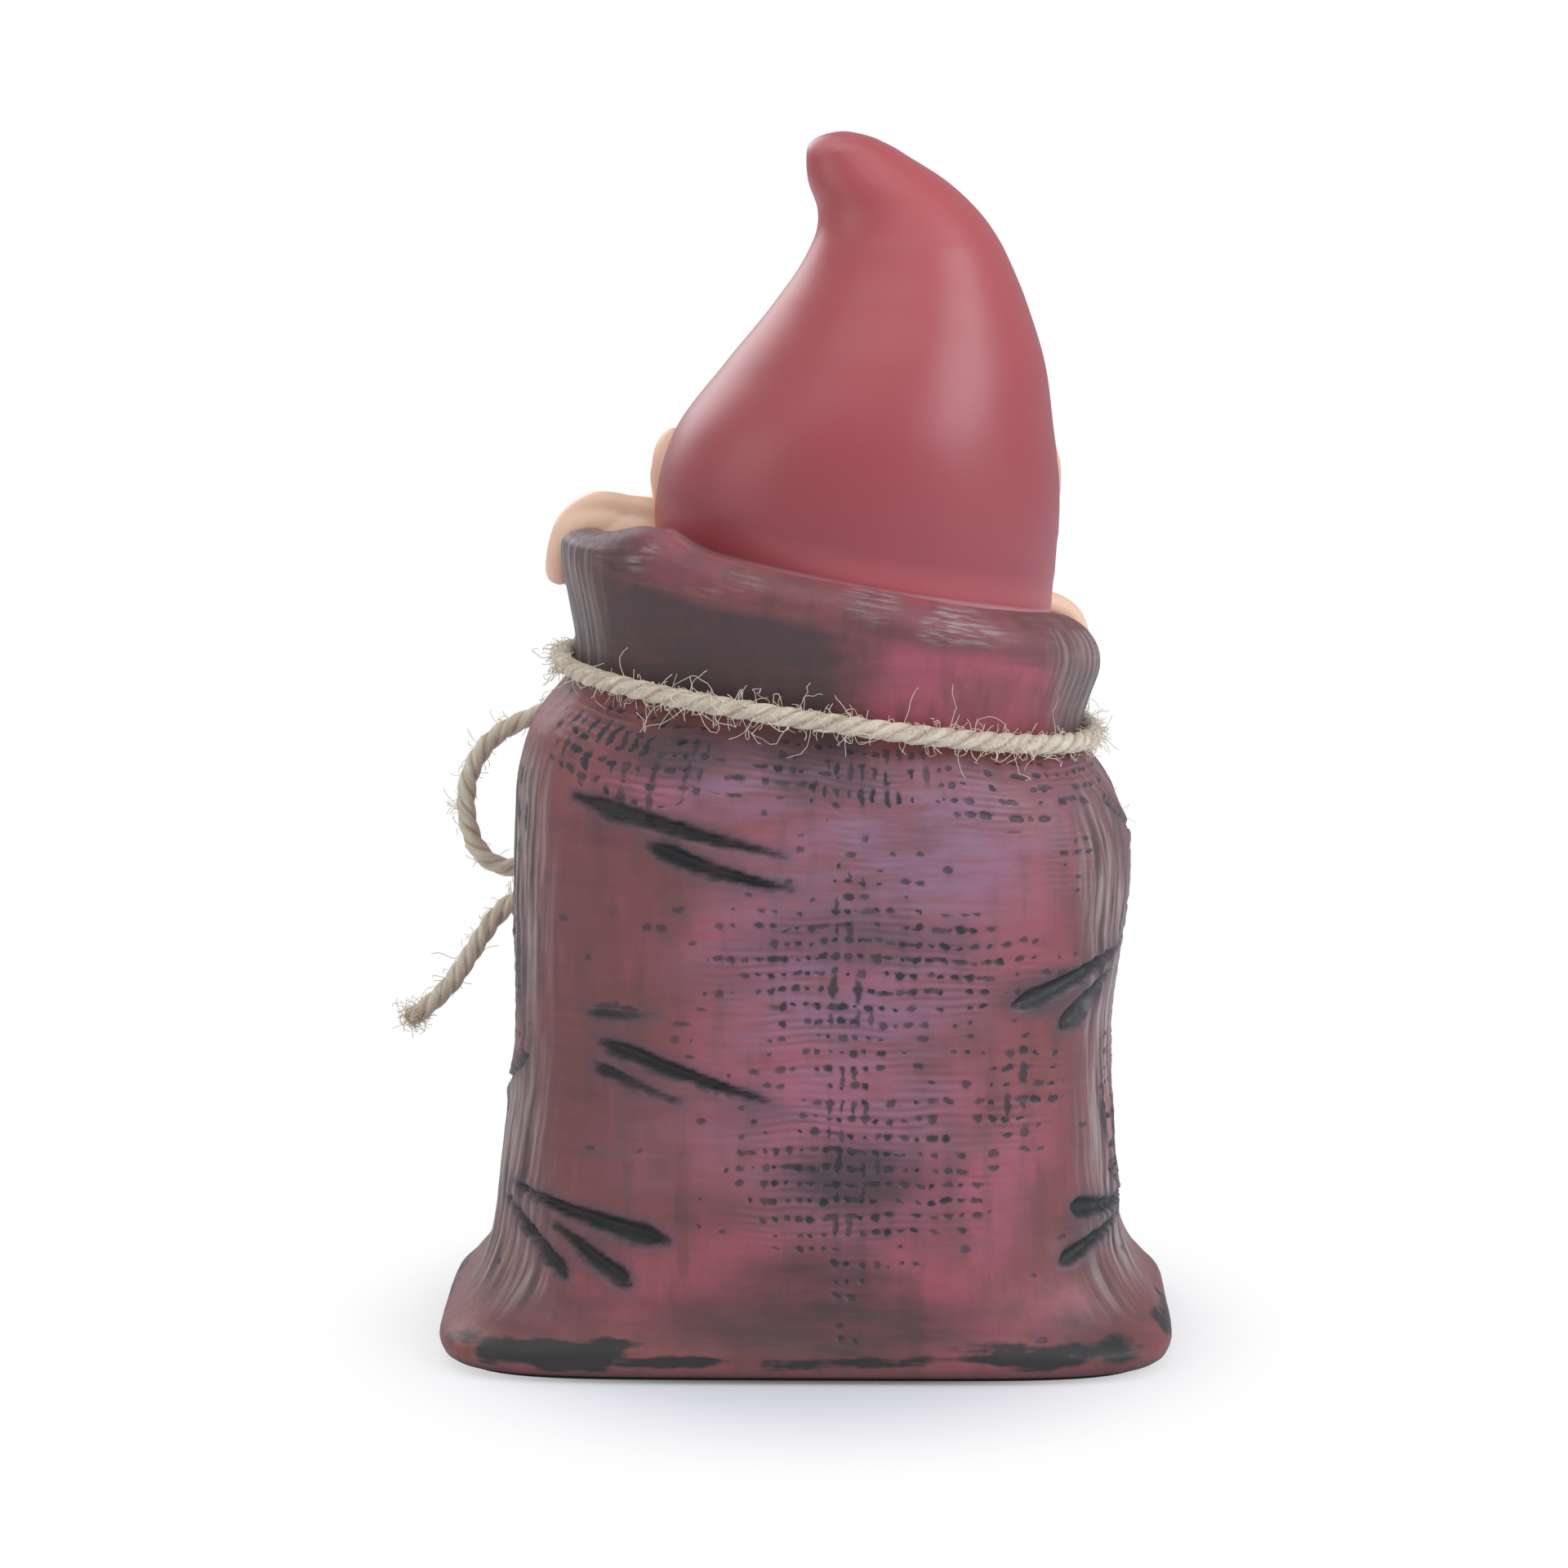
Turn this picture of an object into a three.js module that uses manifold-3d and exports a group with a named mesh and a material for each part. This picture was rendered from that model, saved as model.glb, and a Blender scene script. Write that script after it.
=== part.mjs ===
// A painted nisse figure that stands in a sack tied with jute twine.
// Millimetres, +Z up, the face looks along -Y, the foot rests on Z = 0.
import * as THREE from 'three';
import { mergeVertices } from 'three/addons/utils/BufferGeometryUtils.js';
import Module from 'manifold-3d';

const wasm = await Module();
wasm.setup();

// Gap that every piece keeps to the piece it is bedded on
const FIT = 0.3;

// Felt sheet under the foot
const FELT_THICKNESS = 1.2;
const FELT_INSET = 3;

// Sack up to its tied neck, which the whole figure's height is taken from
const SACK_WALL = 5;
const SACK_FLOOR = 6;
const VENT_DIAMETER = 24;
const NECK_HEIGHT = 129.1;
const NECK_WIDTH = 100.6;
const NECK_DEPTH = 80;
const LIP_WIDTH = 145.4;
const LIP_DEPTH = 104;
const LIP_HEIGHT = 3.8;
const FOOT_CHAMFER = 1;
const FLARE_RISE = 4.6;
const FLARE_WIDTH = 138.6;
const FLARE_DEPTH = 99.2;
const ANKLE_HEIGHT = NECK_HEIGHT * 0.128;
const ANKLE_WIDTH = 129.6;
const ANKLE_DEPTH = 93.6;
const SHIN_HEIGHT = NECK_HEIGHT * 0.201;
const SHIN_WIDTH = 124.4;
const SHIN_DEPTH = 90.8;
const CALF_HEIGHT = NECK_HEIGHT * 0.333;
const CALF_WIDTH = 122;
const WAIST_HEIGHT = NECK_HEIGHT * 0.496;
const WAIST_WIDTH = 118.8;
const WAIST_DEPTH = 90;
const BELLY_HEIGHT = NECK_HEIGHT * 0.744;
const BELLY_WIDTH = 122.4;
const BELLY_DEPTH = 94;
const SHOULDER_HEIGHT = NECK_HEIGHT * 0.891;
const SHOULDER_WIDTH = 116.8;
const SHOULDER_DEPTH = 90;

// Sack's rolled rim, measured up from the neck
const ROLL_RISE = 14.6;
const ROLL_WIDTH = 106.8;
const ROLL_DEPTH = 88;
const BROW_OF_ROLL_RISE = 20.8;
const BROW_OF_ROLL_WIDTH = 103;
const BROW_OF_ROLL_DEPTH = 84;
const CREST_RISE = 23.1;
const CREST_WIDTH = 93.2;
const CREST_DEPTH = 74.8;
const MOUTH_WIDTH = 86;
const MOUTH_DEPTH = 67.6;

// The sack leans: its neck and rim slope sideways, the rim nods forward and both sit off centre
const NECK_SLOPE = 0.142;
const RIM_SLOPE = 0.2;
const RIM_NOD = 0.1;
const RIM_SADDLE = 2.5;
const BELLY_SHIFT = -2.7;
const NECK_SHIFT = -4;
const ROLL_SHIFT = -4.6;

// How square each level of the sack is in plan; 2 is an ellipse
const FOOT_SQUARENESS = 5.6;
const FLARE_SQUARENESS = 4.4;
const ANKLE_SQUARENESS = 3.8;
const SHIN_SQUARENESS = 3.5;
const WAIST_SQUARENESS = 3.1;
const BELLY_SQUARENESS = 2.8;
const NECK_SQUARENESS = 2.4;

// Head with its plug in the sack's mouth; the brow stands over the neck, the crown over the brow
const HEAD_X = -9.5;
const HEAD_Y = -1;
const HEAD_WIDTH = 69;
const HEAD_DEPTH = 65;
const BROW_RISE = 36.9;
const CROWN_RISE = 35;
const PLUG_SINK = 3;
const PLUG_RISE = 15;
const EAR_HEIGHT = 20;
const EAR_THICKNESS = 10;
const EAR_DEPTH = 12;
const EAR_Y = -7;
const EAR_RISE = 5;
const CHEEK_DIAMETER = 20;

// Face pieces, each so far above or below the brow
const NOSE_DIAMETER = 18;
const NOSE_RISE = 3;
const NOSE_STAND = 3;
const MOUSTACHE_LENGTH = 22;
const MOUSTACHE_THICKNESS = 10;
const MOUSTACHE_DROP = 5.5;
const BEARD_DROP = 16;
const BEARD_WIDTH = 71;
const BEARD_DEPTH = 74;
const BEARD_HEIGHT = 36;
const CHIN_WIDTH = 40;
const CHIN_DEPTH = 26;
const CHIN_HEIGHT = 28;

// Hat: its tip stands over the crown, its hem over the neck and its opening over the brow
const TIP_RISE = 39;
const HEM_RISE = 14.4;
const HAT_WIDTH = 80.8;
const HAT_DEPTH = 75;
const OPENING_RISE = 21;
const HAT_EDGE_Y = 3.5;

// Hands on the rim
const LEFT_HAND_Y = -13;
const RIGHT_HAND_Y = -21;
const HAND_LENGTH = 22;
const HAND_WIDTH = 18;
const HAND_THICKNESS = 7;
const FINGER_DIAMETER = 5.6;
const FINGER_PITCH = 5;
const FINGER_COUNT = 4;
const FINGER_SINK = 1.9;

// The left hand is arched: its heel stands high inside the rim, against the ear
const HEEL_INSET = 5;
const HEEL_SINK = 4.4;
const HEEL_WIDTH = 32;
const HEEL_DEPTH = 22;
const HEEL_HEIGHT = 20.4;

// Jute twine, its bow knot and the gap round it
const TWINE_DIAMETER = 4;
const TWINE_GAP = 0.5;
const KNOT_X = 3;
const KNOT_WIDTH = 13;
const KNOT_DEPTH = 10.4;
const KNOT_HEIGHT = 12;

// How finely the round shapes are cut
const SACK_FACETS = 64;
const LEVEL_STEPS = 3;
const HAT_FACETS = 36;
const HEAD_FACETS = 32;
const LIMB_FACETS = 8;
const TWINE_FACETS = 8;
const KNOT_FACETS = 20;
const NECK_STEPS = 40;

const figure = new THREE.Group();

function addPiece(name, geometry, color, roughness) {
  geometry.computeVertexNormals();
  const material = new THREE.MeshStandardMaterial({ color, roughness, metalness: 0 });
  const mesh = new THREE.Mesh(geometry, material);
  mesh.name = name;
  figure.add(mesh);
}

// Closed skin over a stack of rings; a looped stack joins its last ring to its first
function skin(rings, looped = false) {
  const count = rings[0].length;
  const points = rings.flat();
  const index = [];
  const bands = looped ? rings.length : rings.length - 1;
  for (let band = 0; band < bands; band += 1) {
    const low = band * count;
    const high = ((band + 1) % rings.length) * count;
    for (let i = 0; i < count; i += 1) {
      const j = (i + 1) % count;
      index.push(low + i, low + j, high + j);
      index.push(low + i, high + j, high + i);
    }
  }
  if (!looped) {
    const last = (rings.length - 1) * count;
    const bottom = points.push(middle(rings[0])) - 1;
    const top = points.push(middle(rings[rings.length - 1])) - 1;
    for (let i = 0; i < count; i += 1) {
      const j = (i + 1) % count;
      index.push(bottom, j, i);
      index.push(top, last + i, last + j);
    }
  }
  const geometry = new THREE.BufferGeometry().setFromPoints(points);
  geometry.setIndex(index);
  return geometry;
}

function middle(ring) {
  const sum = new THREE.Vector3();
  ring.forEach((point) => sum.add(point));
  return sum.divideScalar(ring.length);
}

// Same geometry with only its positions, each shared vertex once
function bare(geometry) {
  const copy = geometry.clone();
  copy.deleteAttribute('normal');
  copy.deleteAttribute('uv');
  return mergeVertices(copy, 1e-4);
}

// Same geometry with its skin moved outwards by a gap
function grown(geometry, gap) {
  const copy = bare(geometry);
  copy.computeVertexNormals();
  const position = copy.attributes.position;
  const normal = copy.attributes.normal;
  for (let i = 0; i < position.count; i += 1) {
    const x = position.getX(i) + gap * normal.getX(i);
    const y = position.getY(i) + gap * normal.getY(i);
    const z = position.getZ(i) + gap * normal.getZ(i);
    position.setXYZ(i, x, y, z);
  }
  return copy;
}

function toSolid(geometry) {
  const merged = bare(geometry);
  const vertProperties = new Float32Array(merged.attributes.position.array);
  const triVerts = new Uint32Array(merged.index.array);
  return new wasm.Manifold(new wasm.Mesh({ numProp: 3, vertProperties, triVerts }));
}

function toGeometry(solid) {
  const mesh = solid.getMesh();
  const geometry = new THREE.BufferGeometry();
  geometry.setAttribute('position', new THREE.BufferAttribute(mesh.vertProperties, 3));
  geometry.setIndex(new THREE.BufferAttribute(mesh.triVerts, 1));
  return geometry;
}

// One body from several overlapping forms, each first grown by a gap
function joined(forms, gap = 0) {
  const [first, ...others] = forms.map((form) => toSolid(gap > 0 ? grown(form, gap) : form));
  return toGeometry(others.reduce((whole, form) => whole.add(form), first));
}

// What is left of a piece after the cuts: its largest body, without crumbs along the edges
function cutBy(geometry, cutters) {
  const whole = toSolid(geometry);
  const left = cutters.map(toSolid).reduce((rest, cutter) => rest.subtract(cutter), whole);
  const bodies = left.decompose().sort((a, b) => b.volume() - a.volume());
  return toGeometry(bodies[0]);
}

function ellipsoid(center, width, depth, height, facets = 14) {
  const geometry = new THREE.SphereGeometry(0.5, facets, facets / 2);
  geometry.rotateX(Math.PI / 2);
  geometry.scale(width, depth, height);
  geometry.translate(center.x, center.y, center.z);
  return geometry;
}

// Limb along a route, drawn in at its two ends
function limb(route, diameter, steps = 6) {
  const curve = new THREE.CatmullRomCurve3(route);
  const frames = curve.computeFrenetFrames(steps, false);
  const endShare = 0.6;
  const rings = [];
  for (let step = 0; step <= steps; step += 1) {
    const center = curve.getPointAt(step / steps);
    const atEnd = step === 0 || step === steps;
    const radius = (atEnd ? endShare : 1) * diameter / 2;
    const ring = [];
    for (let i = 0; i < LIMB_FACETS; i += 1) {
      const angle = (i / LIMB_FACETS) * 2 * Math.PI;
      const point = center.clone();
      point.addScaledVector(frames.normals[step], radius * Math.cos(angle));
      point.addScaledVector(frames.binormals[step], radius * Math.sin(angle));
      ring.push(point);
    }
    rings.push(ring);
  }
  return skin(rings);
}

// Point of a superellipse in a given direction
function squarePoint(halfWidth, halfDepth, power, angle) {
  const across = Math.abs(Math.cos(angle) / halfWidth) ** power;
  const along = Math.abs(Math.sin(angle) / halfDepth) ** power;
  const reach = (across + along) ** (-1 / power);
  return new THREE.Vector2(reach * Math.cos(angle), reach * Math.sin(angle));
}

// Ring at one level; slope, nod and saddle lift it from the flat
function sackRing(level, facets = SACK_FACETS) {
  const ring = [];
  for (let i = 0; i < facets; i += 1) {
    const angle = (i / facets) * 2 * Math.PI;
    const flat = squarePoint(level.halfWidth, level.halfDepth, level.power, angle);
    const x = flat.x + level.shift;
    const saddle = level.saddle * (flat.x / level.halfWidth) ** 2;
    ring.push(new THREE.Vector3(x, flat.y, level.z + level.slope * x + level.nod * flat.y + saddle));
  }
  return ring;
}

// Rings through a list of levels, with extra rings on a smooth curve between them
function smoothLevels(levels, perSpan) {
  const keys = Object.keys(levels[0]);
  const samples = levels.flatMap((level) => keys.map((key) => level[key]));
  const curve = new THREE.CubicInterpolant(levels.map((level, i) => i), samples, keys.length);
  const rings = [];
  for (let step = 0; step <= (levels.length - 1) * perSpan; step += 1) {
    const values = curve.evaluate(step / perSpan);
    rings.push(Object.fromEntries(keys.map((key, i) => [key, values[i]])));
  }
  return rings;
}

function level(z, width, depth, power, shift = 0, slope = 0, nod = 0, saddle = 0) {
  return { z, halfWidth: width / 2, halfDepth: depth / 2, power, shift, slope, nod, saddle };
}

const browZ = NECK_HEIGHT + BROW_RISE;
const crownZ = browZ + CROWN_RISE;
const earZ = browZ + EAR_RISE;
const noseZ = browZ + NOSE_RISE;
const openingZ = browZ + OPENING_RISE;
const tipZ = crownZ + TIP_RISE;
const hemZ = NECK_HEIGHT + HEM_RISE;
const rollZ = NECK_HEIGHT + ROLL_RISE;
const crestZ = NECK_HEIGHT + CREST_RISE;
const lipZ = FELT_THICKNESS + LIP_HEIGHT;
const floorZ = FELT_THICKNESS + SACK_FLOOR;
const wallPair = 2 * SACK_WALL;

const calfSquareness = (SHIN_SQUARENESS + WAIST_SQUARENESS) / 2;
const shoulderSlope = NECK_SLOPE * 0.7;
const rimLean = [RIM_SLOPE, RIM_NOD, RIM_SADDLE];

const outerLevels = [
  level(lipZ, LIP_WIDTH, LIP_DEPTH, FOOT_SQUARENESS),
  level(lipZ + FLARE_RISE, FLARE_WIDTH, FLARE_DEPTH, FLARE_SQUARENESS),
  level(ANKLE_HEIGHT, ANKLE_WIDTH, ANKLE_DEPTH, ANKLE_SQUARENESS),
  level(SHIN_HEIGHT, SHIN_WIDTH, SHIN_DEPTH, SHIN_SQUARENESS),
  level(CALF_HEIGHT, CALF_WIDTH, WAIST_DEPTH, calfSquareness, BELLY_SHIFT / 6),
  level(WAIST_HEIGHT, WAIST_WIDTH, WAIST_DEPTH, WAIST_SQUARENESS, BELLY_SHIFT / 2),
  level(BELLY_HEIGHT, BELLY_WIDTH, BELLY_DEPTH, BELLY_SQUARENESS, BELLY_SHIFT, NECK_SLOPE / 7),
  level(SHOULDER_HEIGHT, SHOULDER_WIDTH, SHOULDER_DEPTH, BELLY_SQUARENESS, BELLY_SHIFT, shoulderSlope),
  level(NECK_HEIGHT, NECK_WIDTH, NECK_DEPTH, NECK_SQUARENESS, NECK_SHIFT, NECK_SLOPE),
  level(rollZ, ROLL_WIDTH, ROLL_DEPTH, NECK_SQUARENESS, ROLL_SHIFT, ...rimLean),
  level(NECK_HEIGHT + BROW_OF_ROLL_RISE, BROW_OF_ROLL_WIDTH, BROW_OF_ROLL_DEPTH,
    NECK_SQUARENESS, (ROLL_SHIFT + NECK_SHIFT) / 2, ...rimLean),
  level(crestZ, CREST_WIDTH, CREST_DEPTH, NECK_SQUARENESS, NECK_SHIFT, ...rimLean),
];
const plugTop = NECK_HEIGHT + PLUG_RISE;
const plugLow = NECK_HEIGHT - PLUG_SINK;
const mouthLevels = [
  level(crestZ - SACK_WALL / 2, MOUTH_WIDTH, MOUTH_DEPTH, NECK_SQUARENESS, NECK_SHIFT, ...rimLean),
  level(plugTop, MOUTH_WIDTH, MOUTH_DEPTH, NECK_SQUARENESS, NECK_SHIFT, NECK_SLOPE),
  level(plugLow, MOUTH_WIDTH, MOUTH_DEPTH, NECK_SQUARENESS, NECK_SHIFT, NECK_SLOPE),
];
const innerLevels = [
  level(SHOULDER_HEIGHT - SACK_WALL, SHOULDER_WIDTH - wallPair, SHOULDER_DEPTH - wallPair,
    BELLY_SQUARENESS, BELLY_SHIFT, shoulderSlope),
  level(BELLY_HEIGHT - SACK_WALL, BELLY_WIDTH - wallPair, BELLY_DEPTH - wallPair,
    BELLY_SQUARENESS, BELLY_SHIFT),
  level(WAIST_HEIGHT, WAIST_WIDTH - wallPair, WAIST_DEPTH - wallPair,
    WAIST_SQUARENESS, BELLY_SHIFT / 2),
  level(SHIN_HEIGHT, SHIN_WIDTH - wallPair, SHIN_DEPTH - wallPair, SHIN_SQUARENESS),
  level(floorZ, SHIN_WIDTH - 2 * wallPair, SHIN_DEPTH - 2 * wallPair, SHIN_SQUARENESS),
];
const footWidth = LIP_WIDTH - 2 * FOOT_CHAMFER;
const footDepth = LIP_DEPTH - 2 * FOOT_CHAMFER;

function sackGeometry() {
  const levels = [
    level(FELT_THICKNESS, VENT_DIAMETER, VENT_DIAMETER, 2),
    level(FELT_THICKNESS, footWidth, footDepth, FOOT_SQUARENESS),
    ...smoothLevels(outerLevels, LEVEL_STEPS),
    ...mouthLevels,
    ...innerLevels,
    level(floorZ, VENT_DIAMETER, VENT_DIAMETER, 2),
  ];
  return skin(levels.map((each) => sackRing(each)), true);
}

function feltGeometry() {
  const outline = new THREE.Shape();
  const halfWidth = footWidth / 2 - FELT_INSET;
  const halfDepth = footDepth / 2 - FELT_INSET;
  for (let i = 0; i < SACK_FACETS; i += 1) {
    const angle = (i / SACK_FACETS) * 2 * Math.PI;
    const point = squarePoint(halfWidth, halfDepth, FOOT_SQUARENESS, angle);
    if (i === 0) outline.moveTo(point.x, point.y);
    else outline.lineTo(point.x, point.y);
  }
  return new THREE.ExtrudeGeometry(outline, { depth: FELT_THICKNESS, bevelEnabled: false });
}

// Folds pressed into the sack: side, route across and up, width and depth.
// Each step up is a share of the neck's height; the first end of a fold is blunt, the other runs out.
const folds = [
  ['back', [[44, 0.875], [32.2, 0.851], [19.6, 0.826], [3.5, 0.799]], 4.4, 1.5],
  ['back', [[29.3, 0.81], [16.5, 0.775], [1.8, 0.747]], 4.2, 1.5],
  ['back', [[39.2, 0.507], [21.3, 0.459], [5.2, 0.42]], 4, 1.4],
  ['back', [[40.6, 0.472], [24, 0.419]], 2.6, 0.9],
  ['back', [[57.5, 0.274], [42, 0.239], [27, 0.209]], 4.8, 1.6],
  ['back', [[48.8, 0.225], [34.2, 0.143]], 4.4, 1.4],
  ['back', [[58.3, 0.248], [46.4, 0.149]], 3.6, 1.2],
  ['back', [[-61.5, 0.631], [-52, 0.598], [-41, 0.567]], 4.6, 1.4],
  ['back', [[-59, 0.596], [-50.2, 0.527]], 4.4, 1.3],
  ['back', [[-63.4, 0.226], [-52.6, 0.249]], 4.4, 1.3],
  ['back', [[-62, 0.214], [-50.2, 0.17]], 3.8, 1.2],
  ['front', [[-46, 0.883], [-31, 0.848], [-14, 0.833]], 4.2, 1.4],
  ['front', [[-36, 0.802], [-19, 0.767]], 3.6, 1.2],
  ['front', [[50, 0.565], [33, 0.531], [19, 0.523]], 4.2, 1.4],
  ['front', [[47, 0.496], [32, 0.449]], 3.2, 1.1],
  ['front', [[-55, 0.465], [-40, 0.442], [-25, 0.387]], 4.2, 1.4],
  ['front', [[-50, 0.403], [-37, 0.349]], 3.2, 1.1],
  ['front', [[58, 0.263], [44, 0.217], [30, 0.201]], 4.6, 1.5],
  ['front', [[55, 0.209], [44, 0.132]], 3.8, 1.2],
  ['front', [[-59, 0.256], [-45, 0.232], [-33, 0.194]], 4.4, 1.4],
  ['front', [[-54, 0.201], [-42, 0.132]], 3.6, 1.2],
  ['left', [[-22, 0.821], [-8, 0.759], [4, 0.736]], 3.6, 1.2],
  ['left', [[-4, 0.682], [12, 0.62]], 3.2, 1],
  ['left', [[26, 0.465], [10, 0.403], [-4, 0.387]], 3.8, 1.2],
  ['left', [[-30, 0.232], [-17, 0.194]], 3.6, 1.1],
  ['right', [[20, 0.852], [6, 0.798], [-8, 0.782]], 3.6, 1.2],
  ['right', [[-24, 0.511], [-8, 0.449], [6, 0.426]], 3.8, 1.2],
  ['right', [[24, 0.294], [8, 0.24]], 3.4, 1.1],
  ['right', [[-28, 0.217], [-14, 0.17]], 3.4, 1.1],
];
const sideWays = { back: [0, 1], front: [0, -1], left: [1, 0], right: [-1, 0] };
const closeLevels = smoothLevels(outerLevels, 12);

// Point of the sack's outside on one of its sides, and the way out from it
function onSack(side, across, z) {
  const [wayX, wayY] = sideWays[side];
  let best = null;
  closeLevels.forEach((each) => {
    const { halfWidth, halfDepth, power, shift } = each;
    const over = wayX === 0 ? (across - shift) / halfWidth : across / halfDepth;
    const reach = Math.max(0, 1 - Math.abs(over) ** power) ** (1 / power);
    const u = wayX === 0 ? over : wayX * reach;
    const v = wayX === 0 ? wayY * reach : over;
    const x = shift + halfWidth * u;
    const miss = Math.abs(each.z + each.slope * x - z);
    if (best === null || miss < best.miss) {
      const outX = Math.sign(u) * Math.abs(u) ** (power - 1) / halfWidth;
      const outY = Math.sign(v) * Math.abs(v) ** (power - 1) / halfDepth;
      const outward = new THREE.Vector3(outX, outY, 0).normalize();
      best = { miss, outward, center: new THREE.Vector3(x, halfDepth * v, z) };
    }
  });
  return best;
}

// What a fold takes out of the sack: a long four-sided wedge
function foldGeometry([side, route, width, depth]) {
  const curve = new THREE.CatmullRomCurve3(route.map(([across, up]) =>
    new THREE.Vector3(across, up * NECK_HEIGHT, 0)));
  const steps = 5;
  const bluntShare = 0.4;
  const sharpShare = 0.06;
  const lift = 1;
  const stops = [];
  for (let step = 0; step <= steps; step += 1) {
    const { x, y } = curve.getPointAt(step / steps);
    stops.push(onSack(side, x, y));
  }
  const rings = stops.map(({ center, outward }, step) => {
    const before = stops[Math.max(step - 1, 0)].center;
    const after = stops[Math.min(step + 1, steps)].center;
    const ahead = after.clone().sub(before).normalize();
    const aside = outward.clone().cross(ahead).normalize();
    const taper = Math.max(sharpShare, 1 - (step - 1) / (steps - 1));
    const full = step === 0 ? bluntShare : taper;
    return [
      center.clone().addScaledVector(aside, full * width / 2),
      center.clone().addScaledVector(outward, lift),
      center.clone().addScaledVector(aside, -full * width / 2),
      center.clone().addScaledVector(outward, -full * depth),
    ];
  });
  return skin(rings);
}

const sack = sackGeometry();
addPiece('sack', cutBy(sack, folds.map(foldGeometry)), 0x96555a, 0.55);
addPiece('felt_base', feltGeometry(), 0x3b3436, 0.95);

// The head is a straight drum under a dome, so the hat slips over it from above
function drumGeometry() {
  const heights = [plugLow + FIT, plugTop, (plugTop + browZ) / 2];
  const rings = heights.map((z) => ovalRing(HEAD_WIDTH, HEAD_DEPTH, z));
  const domeSteps = 7;
  for (let step = 0; step < domeSteps; step += 1) {
    const angle = (step / domeSteps) * Math.PI / 2;
    const share = Math.cos(angle);
    const z = browZ + CROWN_RISE * Math.sin(angle);
    rings.push(ovalRing(HEAD_WIDTH * share, HEAD_DEPTH * share, z));
  }
  return skin([...rings, ovalRing(1, 1, crownZ)]);
}

function ovalRing(width, depth, z) {
  const ring = [];
  for (let i = 0; i < HEAD_FACETS; i += 1) {
    const angle = (i / HEAD_FACETS) * 2 * Math.PI;
    const x = HEAD_X + (width / 2) * Math.cos(angle);
    const y = HEAD_Y + (depth / 2) * Math.sin(angle);
    ring.push(new THREE.Vector3(x, y, z));
  }
  return ring;
}

function plugGeometry() {
  const width = MOUTH_WIDTH - 2 * FIT;
  const depth = MOUTH_DEPTH - 2 * FIT;
  const heights = [plugLow + FIT, plugTop];
  return skin(heights.map((z) =>
    sackRing(level(z, width, depth, NECK_SQUARENESS, NECK_SHIFT, NECK_SLOPE))));
}

function onFace(side, y, z) {
  return new THREE.Vector3(HEAD_X + side, HEAD_Y + y, z);
}

const sideAtEar = (HEAD_WIDTH / 2) * Math.sqrt(1 - (EAR_RISE / CROWN_RISE) ** 2);
const earOut = sideAtEar + EAR_THICKNESS / 5;
const faceFront = -HEAD_DEPTH / 2;
const ears = [-1, 1].map((side) =>
  ellipsoid(onFace(side * earOut, EAR_Y, earZ), EAR_THICKNESS, EAR_DEPTH, EAR_HEIGHT));
const cheeks = [-1, 1].map((side) =>
  ellipsoid(onFace(side * HEAD_WIDTH / 4.6, faceFront * 0.86, browZ),
    CHEEK_DIAMETER, CHEEK_DIAMETER * 0.7, CHEEK_DIAMETER * 0.8));
const headForms = [drumGeometry(), plugGeometry(), ...ears, ...cheeks];
addPiece('head', joined(headForms), 0xf0c8b0, 0.5);

// Hat outline as shares: rise, centre, width, depth. The centre is a share of the half width.
const hatOutline = [
  [0, 0, 0.94, 0.95],
  [0.1, 0, 0.975, 0.98],
  [0.25, -0.01, 1, 1],
  [0.395, -0.045, 0.925, 0.96],
  [0.53, -0.145, 0.78, 0.81],
  [0.667, -0.225, 0.597, 0.61],
  [0.768, -0.247, 0.468, 0.465],
  [0.834, -0.21, 0.396, 0.37],
  [0.9, -0.1, 0.337, 0.29],
  [0.967, 0.027, 0.215, 0.185],
  [0.988, 0.055, 0.135, 0.12],
  [1, 0.067, 0.03, 0.03],
];

function hatGeometry() {
  const rowRises = hatOutline.map((row) => row[0]);
  const curve = new THREE.CubicInterpolant(rowRises, hatOutline.flatMap((row) => row.slice(1)), 3);
  const halfway = rowRises.slice(1).map((rise, i) => (rise + rowRises[i]) / 2);
  const rises = [...rowRises, ...halfway.slice(2, 9)].sort((a, b) => a - b);
  const rings = rises.map((rise) => {
    const [centre, width, depth] = curve.evaluate(rise);
    const ring = [];
    const tilt = Math.max(0, 1 - rise * 4);
    for (let i = 0; i < HAT_FACETS; i += 1) {
      const angle = (i / HAT_FACETS) * 2 * Math.PI;
      const x = HEAD_X + (HAT_WIDTH / 2) * (centre + width * Math.cos(angle));
      const y = HEAD_Y + (HAT_DEPTH / 2) * depth * Math.sin(angle);
      const z = hemZ + rise * (tipZ - hemZ) + tilt * (RIM_SLOPE * x + RIM_NOD * y);
      ring.push(new THREE.Vector3(x, y, z));
    }
    return ring;
  });
  return skin(rings);
}

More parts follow.
